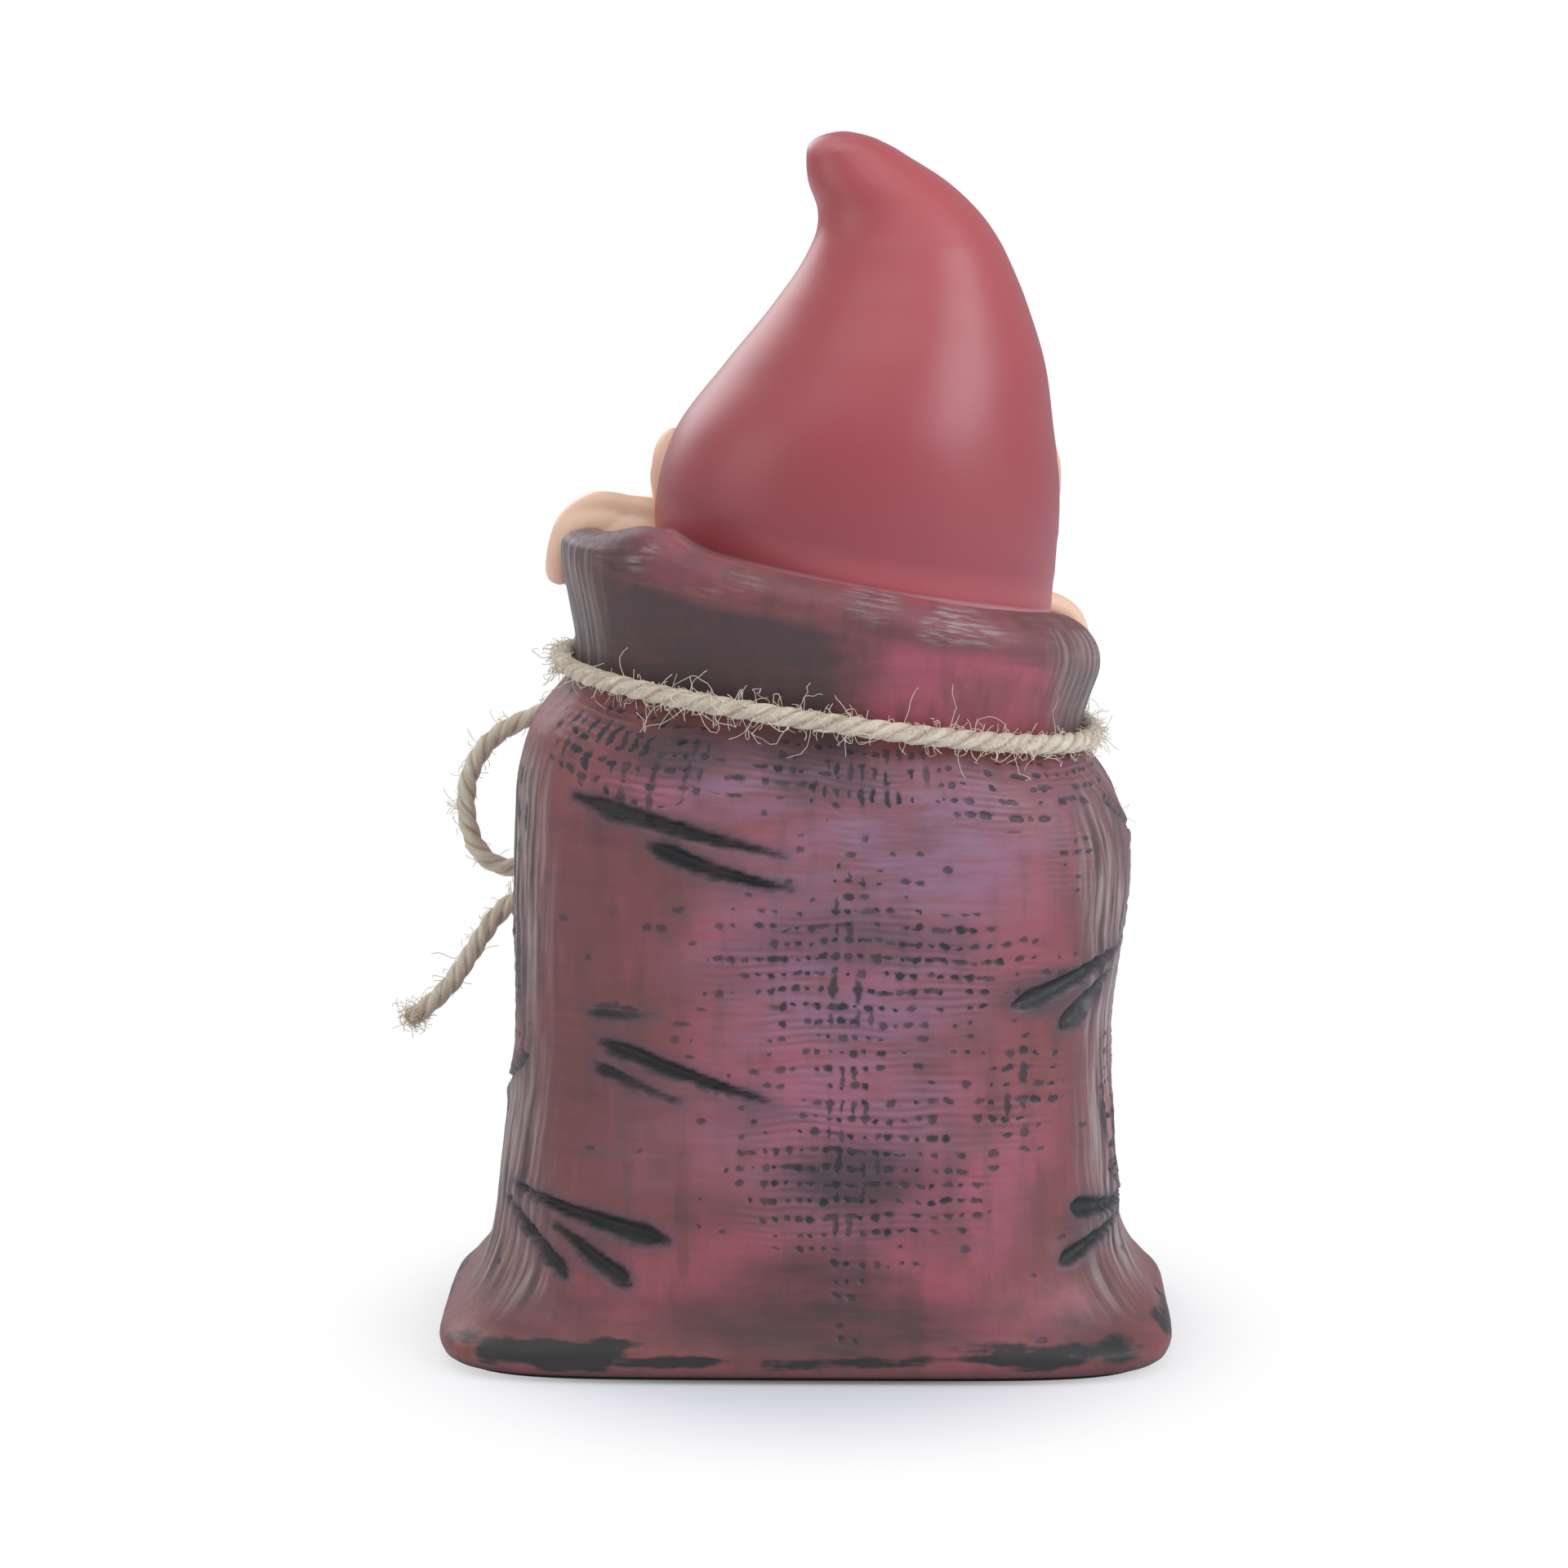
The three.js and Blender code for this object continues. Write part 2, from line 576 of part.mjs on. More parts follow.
// Everything in front of the hat's edge, from the brow down past the ears
function faceOpening() {
  const side = new THREE.Shape();
  const far = -LIP_DEPTH;
  const ear = HEAD_Y + EAR_Y;
  side.moveTo(far, 0);
  side.lineTo(HAT_EDGE_Y, 0);
  side.lineTo(HAT_EDGE_Y, earZ - EAR_HEIGHT / 2);
  side.quadraticCurveTo(HAT_EDGE_Y, earZ + EAR_HEIGHT / 2, ear - EAR_DEPTH / 2, openingZ - 2);
  side.quadraticCurveTo(ear - EAR_DEPTH, openingZ, faceFront * 0.85, openingZ);
  side.lineTo(far, openingZ);
  const options = { depth: LIP_WIDTH, bevelEnabled: false, curveSegments: 6 };
  const geometry = new THREE.ExtrudeGeometry(side, options);
  geometry.applyMatrix4(new THREE.Matrix4().set(
    0, 0, 1, -LIP_WIDTH / 2,
    1, 0, 0, 0,
    0, 1, 0, 0,
    0, 0, 0, 1,
  ));
  return geometry;
}

const sackGap = grown(sack, FIT);
const headGap = joined(headForms, FIT);
addPiece('hat', cutBy(hatGeometry(), [faceOpening(), sackGap, headGap]), 0xad5e5e, 0.35);

// Beard round the jaw, with a chin that hangs over the front of the rim
const chinY = -LIP_DEPTH / 2 + CHIN_DEPTH / 2 + 1.5;
const beardZ = browZ - BEARD_DROP;
const chinCenter = new THREE.Vector3(HEAD_X, chinY, beardZ);
const beardForms = [
  ellipsoid(onFace(0, -2, beardZ), BEARD_WIDTH, BEARD_DEPTH, BEARD_HEIGHT, 20),
  ellipsoid(chinCenter, CHIN_WIDTH, CHIN_DEPTH, CHIN_HEIGHT, 16),
];
const behindBeard = new THREE.BoxGeometry(LIP_WIDTH, LIP_DEPTH, tipZ);
behindBeard.translate(0, HEAD_Y + EAR_Y + EAR_DEPTH / 2 + LIP_DEPTH / 2, tipZ / 2);
const beard = cutBy(joined(beardForms), [behindBeard, sackGap, headGap]);
const beardGap = joined(beardForms, FIT);
addPiece('beard', beard, 0xe9e4dc, 0.6);

const moustacheLobes = [-1, 1].map((side) => {
  const at = onFace(side * MOUSTACHE_LENGTH * 0.42, faceFront - 4, browZ - MOUSTACHE_DROP);
  const lobe = ellipsoid(new THREE.Vector3(), MOUSTACHE_LENGTH,
    MOUSTACHE_THICKNESS * 1.2, MOUSTACHE_THICKNESS);
  lobe.rotateY(side * 0.32);
  lobe.translate(at.x, at.y, at.z);
  return lobe;
});
const moustacheGap = joined(moustacheLobes, FIT);
addPiece('moustache', cutBy(joined(moustacheLobes), [headGap, beardGap]), 0xe9e4dc, 0.6);

const noseCenter = onFace(0, faceFront - NOSE_STAND, noseZ);
const noseBall = ellipsoid(noseCenter, NOSE_DIAMETER, NOSE_DIAMETER, NOSE_DIAMETER, 18);
addPiece('nose', cutBy(noseBall, [headGap, moustacheGap, beardGap]), 0xe9a890, 0.45);

// Place on the rim's crest at a given Y, on the figure's left (1) or right (-1)
function rimPlace(side, y) {
  const halfWidth = CREST_WIDTH / 2;
  const halfDepth = CREST_DEPTH / 2;
  const share = side * Math.sqrt(1 - (y / halfDepth) ** 2);
  const x = NECK_SHIFT + halfWidth * share;
  const z = crestZ + RIM_SLOPE * x + RIM_NOD * y + RIM_SADDLE * share ** 2;
  const outward = new THREE.Vector3(share / halfWidth, y / halfDepth ** 2, 0).normalize();
  return { center: new THREE.Vector3(x, y, z), outward };
}

// Point near the rim's crest: so far out from it and so far above it
function overRim(side, y, out, rise) {
  const { center, outward } = rimPlace(side, y);
  return center.addScaledVector(outward, out).add(new THREE.Vector3(0, 0, rise));
}

function handForms(side, handY) {
  const top = FINGER_DIAMETER / 2 - FINGER_SINK;
  const over = (ROLL_WIDTH - CREST_WIDTH) / 2 + top;
  const drop = CREST_RISE - ROLL_RISE;
  const fingers = [];
  for (let finger = 0; finger < FINGER_COUNT; finger += 1) {
    const y = handY + (finger - (FINGER_COUNT - 1) / 2) * FINGER_PITCH;
    fingers.push(limb([
      overRim(side, y, -HAND_WIDTH / 3, top),
      overRim(side, y, 0, top + 0.3),
      overRim(side, y, over * 0.72, top - 2.6),
      overRim(side, y, over, -drop),
      overRim(side, y, over - 0.4, -drop - FINGER_DIAMETER),
    ], FINGER_DIAMETER));
  }
  const back = ellipsoid(new THREE.Vector3(), HAND_WIDTH, HAND_LENGTH, HAND_THICKNESS, 16);
  const { outward } = rimPlace(side, handY);
  back.rotateZ(Math.atan2(outward.y, outward.x));
  const palm = overRim(side, handY, -HAND_WIDTH / 4, 0);
  back.translate(palm.x, palm.y, palm.z);
  const wrist = limb([
    overRim(side, handY, -HAND_WIDTH / 3, 0),
    overRim(side, handY, -HAND_WIDTH / 2, -HAND_THICKNESS),
    overRim(side, handY, -HAND_WIDTH / 2, -HAND_THICKNESS * 2),
  ], HAND_LENGTH / 2, 3);
  const thumb = limb([
    overRim(side, handY - HAND_LENGTH * 0.25, -HAND_WIDTH / 4, 1),
    overRim(side, handY - HAND_LENGTH * 0.45, -1, top),
    overRim(side, handY - HAND_LENGTH * 0.6, 1.5, top - 1),
  ], FINGER_DIAMETER, 4);
  return [back, wrist, thumb, ...fingers];
}

const heelCenter = overRim(1, LEFT_HAND_Y, -HEEL_INSET, -HEEL_SINK);
const heel = ellipsoid(heelCenter, HEEL_WIDTH, HEEL_DEPTH, HEEL_HEIGHT, 18);
const roundHands = [sackGap, headGap, beardGap];
const leftHand = joined([heel, ...handForms(1, LEFT_HAND_Y)]);
addPiece('left_hand', cutBy(leftHand, roundHands), 0xf0c8b0, 0.5);
addPiece('right_hand', cutBy(joined(handForms(-1, RIGHT_HAND_Y)), roundHands), 0xf0c8b0, 0.5);

// Twine of the bow and the neck
function twineGeometry(route, steps) {
  const section = new THREE.Shape();
  const radius = TWINE_DIAMETER / 2;
  for (let i = 0; i < TWINE_FACETS; i += 1) {
    const angle = (i / TWINE_FACETS) * 2 * Math.PI;
    const point = new THREE.Vector2(radius * Math.cos(angle), radius * Math.sin(angle));
    if (i === 0) section.moveTo(point.x, point.y);
    else section.lineTo(point.x, point.y);
  }
  const extrudePath = new THREE.CatmullRomCurve3(route);
  return new THREE.ExtrudeGeometry(section, { steps, bevelEnabled: false, extrudePath });
}

const knotSide = KNOT_WIDTH / 2 + FIT;
const knotZ = NECK_HEIGHT + NECK_SLOPE * KNOT_X;
const tailTop = -KNOT_HEIGHT / 2 - FIT;

// Twine lies round the neck's narrowest place and its two ends meet the knot
function neckRoute() {
  const reach = TWINE_DIAMETER / 2 + TWINE_GAP;
  const halfWidth = NECK_WIDTH / 2 + reach;
  const halfDepth = NECK_DEPTH / 2 + reach;
  const start = Math.atan2(-halfDepth, KNOT_X + knotSide - NECK_SHIFT);
  const end = Math.atan2(-halfDepth, KNOT_X - knotSide - NECK_SHIFT) + 2 * Math.PI;
  const route = [];
  for (let i = 0; i <= NECK_STEPS; i += 1) {
    const angle = start + ((end - start) * i) / NECK_STEPS;
    const flat = squarePoint(halfWidth, halfDepth, NECK_SQUARENESS, angle);
    const x = flat.x + NECK_SHIFT;
    route.push(new THREE.Vector3(x, flat.y, NECK_HEIGHT + NECK_SLOPE * x));
  }
  return route;
}

const neckTwine = twineGeometry(neckRoute(), NECK_STEPS);
addPiece('neck_twine', neckTwine, 0xbfae9f, 0.95);

// Knot, drawn in towards its top and bottom
function knotGeometry() {
  const back = -(NECK_DEPTH / 2 + TWINE_GAP);
  const endShare = 0.72;
  const steps = 6;
  const rings = [];
  for (let step = 0; step <= steps; step += 1) {
    const share = step / steps;
    const full = Math.min(1, endShare + Math.sin(share * Math.PI));
    const width = full * KNOT_WIDTH;
    const depth = full * KNOT_DEPTH;
    const z = knotZ + (share - 0.5) * KNOT_HEIGHT;
    const ring = sackRing(level(z, width, depth, ANKLE_SQUARENESS, KNOT_X), KNOT_FACETS);
    rings.push(ring.map((point) => point.setY(point.y + back - KNOT_DEPTH / 2)));
  }
  return cutBy(skin(rings), [sackGap, grown(neckTwine, FIT)]);
}

addPiece('bow_knot', knotGeometry(), 0xb9a795, 0.95);

// Each point of the bow: across from the knot, out from the neck's front face, up from the knot
function bowRoute(rows) {
  return rows.map(([across, out, up]) =>
    new THREE.Vector3(KNOT_X + across, out - NECK_DEPTH / 2, knotZ + up));
}

const leftLoopRoute = bowRoute([
  [knotSide, -8, 3.1], [10, -8, 3.1], [17, -8.8, 2.7], [25, -9.2, 0.9],
  [34, -8.6, -2.3], [43, -7.4, -6.7], [52.5, -6, -11.2], [57.5, -5, -13.2],
  [61.8, -4, -15.6], [65.5, -3, -19.4], [67.7, -2.3, -24.1], [68.4, -2, -29.2],
  [67.9, -1.8, -34.3], [66.1, -1.8, -39.2], [62.7, -2, -42.4], [58.2, -2.6, -43.2],
  [51, -3.9, -41.3], [44, -5.2, -37.3], [37, -6.6, -31.3], [29, -8.2, -22.9],
  [22, -9.2, -14.9], [16, -9, -8.1], [10.6, -8, -3.6], [knotSide, -8, -3.1],
]);
const rightLoopRoute = bowRoute([
  [-knotSide, -8, 2.9], [-10, -8, 2.9], [-17, -8.8, 1.9], [-25, -9.4, -0.9],
  [-34, -9, -4.5], [-43, -7.8, -8.5], [-52, -6.2, -13.1], [-59, -5, -18.1],
  [-64.4, -4, -24], [-67.4, -3.4, -28.9], [-68.2, -3, -34.1], [-66.8, -3, -39.5],
  [-63, -3.4, -43.9], [-57.6, -4.2, -46.1], [-51.4, -5.2, -45.3], [-45, -6.2, -41.5],
  [-39, -7.2, -36.1], [-32, -8.4, -28.5], [-25, -9.2, -19.9], [-19, -9.4, -12.5],
  [-14.4, -8.8, -6.5], [-10.6, -8, -3.4], [-knotSide, -8, -3.1],
]);
const leftTailRoute = bowRoute([
  [2.9, -6.4, tailTop], [2.9, -6.5, tailTop - 3], [5.4, -8, -16.1], [10.4, -8.8, -23.5],
  [18, -9, -31.1], [26, -8.2, -37.9], [35, -6.6, -43.5], [44, -5, -46.9],
  [52, -3.7, -48.5], [58.2, -2.6, -50.3], [62.3, -1.8, -53.5], [65.2, -1, -57.5],
  [68.5, -0.2, -62.7], [71.7, 0.4, -67.3], [75.8, 1, -71.4], [80.6, 1.4, -75.1],
]);
const rightTailRoute = bowRoute([
  [-2.4, -6.4, tailTop], [-2.4, -6.5, tailTop - 3], [-4, -8.2, -16.5], [-6.4, -9.2, -22.9],
  [-9.2, -9.6, -28.9], [-12.2, -9.7, -34.9], [-15, -9.6, -40.9], [-17.4, -9.3, -46.9],
  [-19.2, -8.9, -52.9], [-20.2, -8.5, -58.9], [-20.4, -8.1, -64.7], [-19.8, -7.9, -70.3],
  [-18.4, -7.8, -75.7], [-16.4, -7.9, -80.9], [-14, -8, -85.9],
]);
addPiece('bow_loop_left', twineGeometry(leftLoopRoute, 24), 0xbfae9f, 0.95);
addPiece('bow_loop_right', twineGeometry(rightLoopRoute, 24), 0xbfae9f, 0.95);
addPiece('twine_tail_left', twineGeometry(leftTailRoute, 14), 0xbfae9f, 0.95);
addPiece('twine_tail_right', twineGeometry(rightTailRoute, 10), 0xbfae9f, 0.95);

export default figure;
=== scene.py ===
"""A painted nisse figure in a sack tied with jute twine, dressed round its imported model."""

import math
import random

import bmesh
import bpy
import numpy as np
from bpy.props import FloatProperty, FloatVectorProperty, IntProperty, PointerProperty
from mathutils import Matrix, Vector, noise


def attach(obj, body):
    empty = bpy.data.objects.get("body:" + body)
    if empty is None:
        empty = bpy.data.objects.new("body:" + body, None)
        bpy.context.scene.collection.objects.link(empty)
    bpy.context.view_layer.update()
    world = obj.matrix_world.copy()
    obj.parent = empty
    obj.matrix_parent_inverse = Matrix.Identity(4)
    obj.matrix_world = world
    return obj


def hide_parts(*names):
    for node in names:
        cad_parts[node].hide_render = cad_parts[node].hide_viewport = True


bl_info = {
    "name": "Nisse figure in a sack",
    "version": (1, 0, 0),
    "blender": (4, 5, 0),
    "location": "3D View > Sidebar > Nisse",
    "description": "Builds the painted figure, its sack, hat and twine round the packed model",
    "category": "Add Mesh",
}

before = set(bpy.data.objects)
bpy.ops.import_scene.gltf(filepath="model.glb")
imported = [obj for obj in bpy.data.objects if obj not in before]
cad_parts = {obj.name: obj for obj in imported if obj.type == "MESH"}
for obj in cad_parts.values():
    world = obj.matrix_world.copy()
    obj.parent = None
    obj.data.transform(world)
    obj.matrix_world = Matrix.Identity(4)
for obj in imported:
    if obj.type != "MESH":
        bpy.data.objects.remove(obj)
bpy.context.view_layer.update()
MM = 0.001
SKIN = "satin_acrylic_skin"
# Clearance between two castings in millimetres
GAP = 0.3

# The figure's main sizes in millimetres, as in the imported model
NECK_HEIGHT = 129.1
NECK_SLOPE = 0.142
NECK_SHIFT = -4.0
NECK_HALF = (50.3, 40.0)
NECK_SQUARENESS = 2.4
MOUTH_HALF = (43.0, 33.8)
CREST_HALF = (46.6, 37.4)
CREST_Z = NECK_HEIGHT + 23.1
FELT_HALF = (68.7, 48)
FELT_SQUARENESS = 5.6
RIM_LEAN = (0.2, 0.1, 2.5)
HEAD_X = -9.5
HEAD_Y = -1.0
HEAD_HALF = (34.5, 32.5)
BROW_Z = NECK_HEIGHT + 36.9
CROWN_Z = BROW_Z + 35.0
OPENING_Z = BROW_Z + 21.0
OPENING_Y = 3.5
EAR_Y = HEAD_Y - 7.0
EAR_Z = BROW_Z + 5.0
HEM_Z = NECK_HEIGHT + 14.4
TIP_Z = CROWN_Z + 39.0
KNOT_X = 3.0
KNOT_Z = NECK_HEIGHT + NECK_SLOPE * KNOT_X
KNOT_SIDE = 6.8
TAIL_TOP = -6.3

# Sack from the foot to the inside of the mouth:
# height, half width, half depth, squareness, shift, slope, nod, saddle
OUTER_LEVELS = [
    (1.2, 71.7, 51, 5.6, 0, 0, 0, 0),
    (5.0, 72.7, 52, 5.6, 0, 0, 0, 0),
    (9.6, 69.3, 49.6, 4.4, 0, 0, 0, 0),
    (16.52, 64.8, 46.8, 3.8, 0, 0, 0, 0),
    (25.95, 62.2, 45.4, 3.5, 0, 0, 0, 0),
    (42.99, 61, 45, 3.3, -0.45, 0, 0, 0),
    (64.03, 59.4, 45, 3.1, -1.35, 0, 0, 0),
    (96.05, 61.2, 47, 2.8, -2.7, 0.0203, 0, 0),
    (115.03, 58.4, 45, 2.8, -2.7, 0.0994, 0, 0),
    (129.1, 50.3, 40, 2.4, -4, 0.142, 0, 0),
    (143.7, 53.4, 44, 2.4, -4.6, *RIM_LEAN),
    (149.9, 51.5, 42, 2.4, -4.3, *RIM_LEAN),
    (152.2, 46.6, 37.4, 2.4, -4, *RIM_LEAN),
    (149.7, 43, 33.8, 2.4, -4, *RIM_LEAN),
]
WAIST, NECK, CREST = 6, 9, 12
INNER_LEVELS = [
    (144.1, 43, 33.8, 2.4, -4, 0.142, 0, 0),
    (126.1, 43, 33.8, 2.4, -4, 0.142, 0, 0),
    (110.03, 53.4, 40, 2.8, -2.7, 0.0994, 0, 0),
    (91.05, 56.2, 42, 2.8, -2.7, 0, 0, 0),
    (64.03, 54.4, 40, 3.1, -1.35, 0, 0, 0),
    (25.95, 57.2, 40.4, 3.5, 0, 0, 0, 0),
    (7.2, 52.2, 35.4, 3.5, 0, 0, 0, 0),
    (7.2, 12, 12, 2, 0, 0, 0, 0),
    (1.2, 12, 12, 2, 0, 0, 0, 0),
]
SACK_COLUMNS = 440
ROW_STEP = 0.8
CLOTH_ROUND = 372.0
FOOT_ROUND = 0.7
INNER_LIP = 3

# Folds pressed into the sack, by face: route across and up, width, depth
GROOVES = {
    "back": [
        ([(44, 112.9), (32.2, 109.9), (19.6, 106.6), (3.5, 103.2)], 4.4, 1.5),
        ([(29.3, 104.6), (16.5, 100.0), (1.8, 96.4)], 4.2, 1.5), ([(41.5, 71.2), (28.4, 71.2)], 2.0, 0.7),
        ([(39.2, 65.5), (21.3, 59.2), (5.2, 54.2)], 4.0, 1.4), ([(40.6, 60.9), (24.0, 54.1)], 2.6, 0.9),
        ([(27.0, 27.0), (42.0, 30.8), (57.5, 35.4)], 4.8, 1.6), ([(34.2, 18.4), (48.8, 29.0)], 4.4, 1.4),
        ([(46.4, 19.2), (58.3, 32.0)], 3.6, 1.2), ([(-41.0, 73.2), (-52.0, 77.2), (-61.5, 81.4)], 4.6, 1.4),
        ([(-50.2, 68.0), (-59.0, 77.0)], 4.4, 1.3), ([(-52.6, 32.2), (-63.4, 29.2)], 4.4, 1.3),
        ([(-50.2, 22.0), (-62.0, 27.6)], 3.8, 1.2),
    ],
    "front": [
        ([(-46, 114), (-31, 109.5), (-14, 107.5)], 4.2, 1.4), ([(-36, 103.5), (-19, 99.0)], 3.6, 1.2),
        ([(50, 73), (33, 68.5), (19, 67.5)], 4.2, 1.4), ([(47, 64), (32, 58)], 3.2, 1.1),
        ([(-55, 60), (-40, 57), (-25, 50)], 4.2, 1.4), ([(-50, 52), (-37, 45)], 3.2, 1.1),
        ([(58, 34), (44, 28), (30, 26)], 4.6, 1.5), ([(55, 27), (44, 17)], 3.8, 1.2),
        ([(-59, 33), (-45, 30), (-33, 25)], 4.4, 1.4), ([(-54, 26), (-42, 17)], 3.6, 1.2),
    ],
    "left": [
        ([(-22, 106), (-8, 98), (4, 95)], 3.6, 1.2), ([(-4, 88), (12, 80)], 3.2, 1.0),
        ([(26, 60), (10, 52), (-4, 50)], 3.8, 1.2), ([(-30, 30), (-17, 25)], 3.6, 1.1),
    ],
    "right": [
        ([(20, 110), (6, 103), (-8, 101)], 3.6, 1.2), ([(-24, 66), (-8, 58), (6, 55)], 3.8, 1.2),
        ([(24, 38), (8, 31)], 3.4, 1.1), ([(-28, 28), (-14, 22)], 3.4, 1.1),
    ],
}

# Painted fields on the sack, by face: middle across and up, reach across and up, strength
OPEN_WEAVE = {
    "back": [
        (-4, 119, 19, 6, 0.7), (-41, 116, 17, 9, 0.6), (-11, 96, 22, 11, 0.32), (-14, 80, 30, 14, 0.92),
        (-12, 62, 24, 14, 0.5), (-8, 62, 5, 48, 0.95), (-11, 40, 24, 17, 0.9), (-42, 57, 8, 11, 0.8),
        (-52, 100, 6, 8, 0.4), (33, 124, 14, 12, 0.9), (20, 93, 14, 3, 0.12), (12, 50, 12, 24, 0.16),
        (34, 88, 14, 8, 0.1),
    ],
    "front": [(14, 96, 20, 22, 0.7), (10, 66, 9, 40, 0.9), (26, 42, 18, 14, 0.8), (-30, 82, 14, 12, 0.6)],
    "left": [(6, 70, 16, 26, 0.55), (-18, 84, 9, 10, 0.6)],
    "right": [(0, 78, 16, 22, 0.6), (16, 50, 10, 14, 0.6)],
}
LEVEL_DASHES = {
    "back": [
        (-14, 82, 26, 9, 0.5), (-8, 40, 17, 8, 0.45), (-42, 117, 16, 8, 0.4), (30, 71, 12, 3, 0.3),
        (8, 118, 16, 4, 0.5),
    ],
    "front": [(16, 90, 18, 12, 0.6), (24, 40, 14, 10, 0.6)],
    "left": [(6, 74, 12, 12, 0.4)],
    "right": [(0, 80, 12, 12, 0.5)],
}
UPRIGHT_DASHES = {
    "back": [(33, 124, 14, 12, 0.8), (-14, 118, 12, 6, 0.85), (-8, 60, 6, 38, 0.45), (-43, 56, 5, 8, 0.5)],
    "front": [(-32, 122, 13, 10, 0.9), (12, 60, 6, 30, 0.5)],
    "left": [(14, 106, 12, 12, 0.8)],
    "right": [(-12, 108, 12, 10, 0.8)],
}
# Lilac dry-brushing, also a painted sheen of the key light on the middle
LILAC_AND_SHEEN = {
    "back": [
        (-20, 103, 26, 16, 1.0), (-8, 82, 25, 26, 0.95), (8, 117, 22, 7, 0.9), (-46, 112, 14, 12, 0.45),
        (-10, 52, 22, 24, 0.7), (8, 48, 18, 14, 0.5), (-34, 40, 10, 16, 0.35), (14, 80, 12, 14, 0.4),
        (30, 46, 10, 10, 0.3),
    ],
    "front": [(16, 92, 30, 24, 0.8), (-20, 60, 24, 20, 0.5)],
    "left": [(0, 78, 20, 34, 0.5)],
    "right": [(2, 84, 20, 30, 0.6)],
}
ROSY = {
    "back": [
        (-28, 38, 20, 22, 1.0), (-4, 62, 26, 22, 0.75), (28, 114, 14, 7, 0.8), (20, 90, 15, 10, 0.6),
        (-40, 90, 12, 16, 0.5), (6, 22, 22, 8, 0.6), (-32, 14, 22, 8, 0.8), (44, 16, 14, 7, 0.35),
        (12, 105, 14, 4, 0.5),
    ],
    "front": [(20, 40, 26, 24, 0.9), (-22, 96, 24, 16, 0.7), (-30, 34, 20, 14, 0.6)],
    "left": [(-10, 60, 18, 24, 0.6)],
    "right": [(10, 50, 18, 26, 0.6)],
}
# Dark wash; the patches just under the twine, at 24 and -1 across on the back, are a painted shadow of the
# twine
DARK_WASH_AND_SHADOW = {
    "back": [
        (61, 78, 6, 40, 0.6), (24, 122, 16, 5, 0.75), (-60, 88, 8, 22, 0.5), (-49, 75, 12, 5, 0.75),
        (-56, 28, 9, 6, 0.6), (50, 12, 16, 7, 0.6), (-4, 11, 34, 7, 0.95), (-2, 18, 18, 8, 0.75),
        (-1, 123, 13, 5, 0.8), (-12, 40, 17, 7, 0.75), (-10, 86, 22, 6, 0.5), (42, 60, 15, 28, 0.42),
        (44, 92, 10, 14, 0.35), (-24, 30, 12, 6, 0.4), (26, 33, 22, 5, 0.35), (-4, 118, 12, 5, 0.6),
        (22, 78, 26, 4, 0.3), (-54, 9, 14, 5, 0.6), (36, 107, 16, 4, 0.5), (-54, 50, 5, 26, 0.4),
        (10, 52, 10, 4, 0.4),
    ],
    "front": [
        (-58, 84, 9, 34, 0.6), (58, 60, 8, 30, 0.6), (-20, 120, 26, 6, 0.7), (18, 44, 18, 8, 0.6),
        (14, 88, 18, 8, 0.5), (-6, 14, 26, 7, 0.5),
    ],
    "left": [(20, 60, 16, 40, 0.5), (-24, 30, 12, 20, 0.6)],
    "right": [(22, 88, 12, 30, 0.5), (-18, 46, 14, 22, 0.5)],
}
BASE_BANDS = {
    "back": [
        (49, 5.8, 18, 2.7, 1.15), (26, 4.6, 16, 1.4, 0.8), (-46, 5.6, 20, 2.6, 1.1), (-8, 4.4, 22, 1.2, 0.6),
    ],
    "front": [(44, 6.3, 20, 2.6, 1.0), (-42, 6.0, 18, 2.4, 1.0)],
    "left": [(-14, 6.3, 22, 2.6, 0.9)],
    "right": [(14, 6.3, 22, 2.6, 0.9)],
}

# Bow: across from the knot, out from the neck's front face, up from the knot
LEFT_LOOP = [
    (KNOT_SIDE, -8, 3.1), (10, -8, 3.1), (17, -8.8, 2.7), (25, -9.2, 0.9), (34, -8.6, -2.3),
    (43, -7.4, -6.7), (52.5, -6, -11.2), (57.5, -5, -13.2), (61.8, -4, -15.6), (65.5, -3, -19.4),
    (67.7, -2.3, -24.1), (68.4, -2, -29.2), (67.9, -1.8, -34.3), (66.1, -1.8, -39.2),
    (62.7, -2, -42.4), (58.2, -2.6, -43.2), (51, -3.9, -41.3), (44, -5.2, -37.3),
    (37, -6.6, -31.3), (29, -8.2, -22.9), (22, -9.2, -14.9), (16, -9, -8.1), (10.6, -8, -3.6),
    (KNOT_SIDE, -8, -3.1),
]
RIGHT_LOOP = [
    (-KNOT_SIDE, -8, 2.9), (-10, -8, 2.9), (-17, -8.8, 1.9), (-25, -9.4, -0.9), (-34, -9, -4.5),
    (-43, -7.8, -8.5), (-51.2, -6.2, -13.1), (-57.4, -5, -18.1), (-62, -4, -24),
    (-64.4, -3.4, -28.9), (-65, -3, -34.1), (-63.9, -3, -39.5), (-60.8, -3.4, -43.9),
    (-56.2, -4.2, -46.1), (-50.8, -5.2, -45.3), (-45, -6.2, -41.5), (-39, -7.2, -36.1),
    (-32, -8.4, -28.5), (-25, -9.2, -19.9), (-19, -9.4, -12.5), (-14.4, -8.8, -6.5),
    (-10.6, -8, -3.4), (-KNOT_SIDE, -8, -3.1),
]
LEFT_TAIL = [
    (2.9, -6.4, TAIL_TOP), (2.9, -6.5, TAIL_TOP - 3), (5.4, -8, -16.1), (10.4, -8.8, -23.5),
    (18, -9, -31.1), (26, -8.2, -37.9), (35, -6.6, -43.5), (44, -5, -46.9), (52, -3.7, -48.5),
    (58.2, -2.6, -50.3), (62.3, -1.8, -53.5), (65.2, -1, -57.5), (68.5, -0.2, -62.7),
    (71.7, 0.4, -67.3), (75.8, 1, -71.4), (80.6, 1.4, -75.1),
]
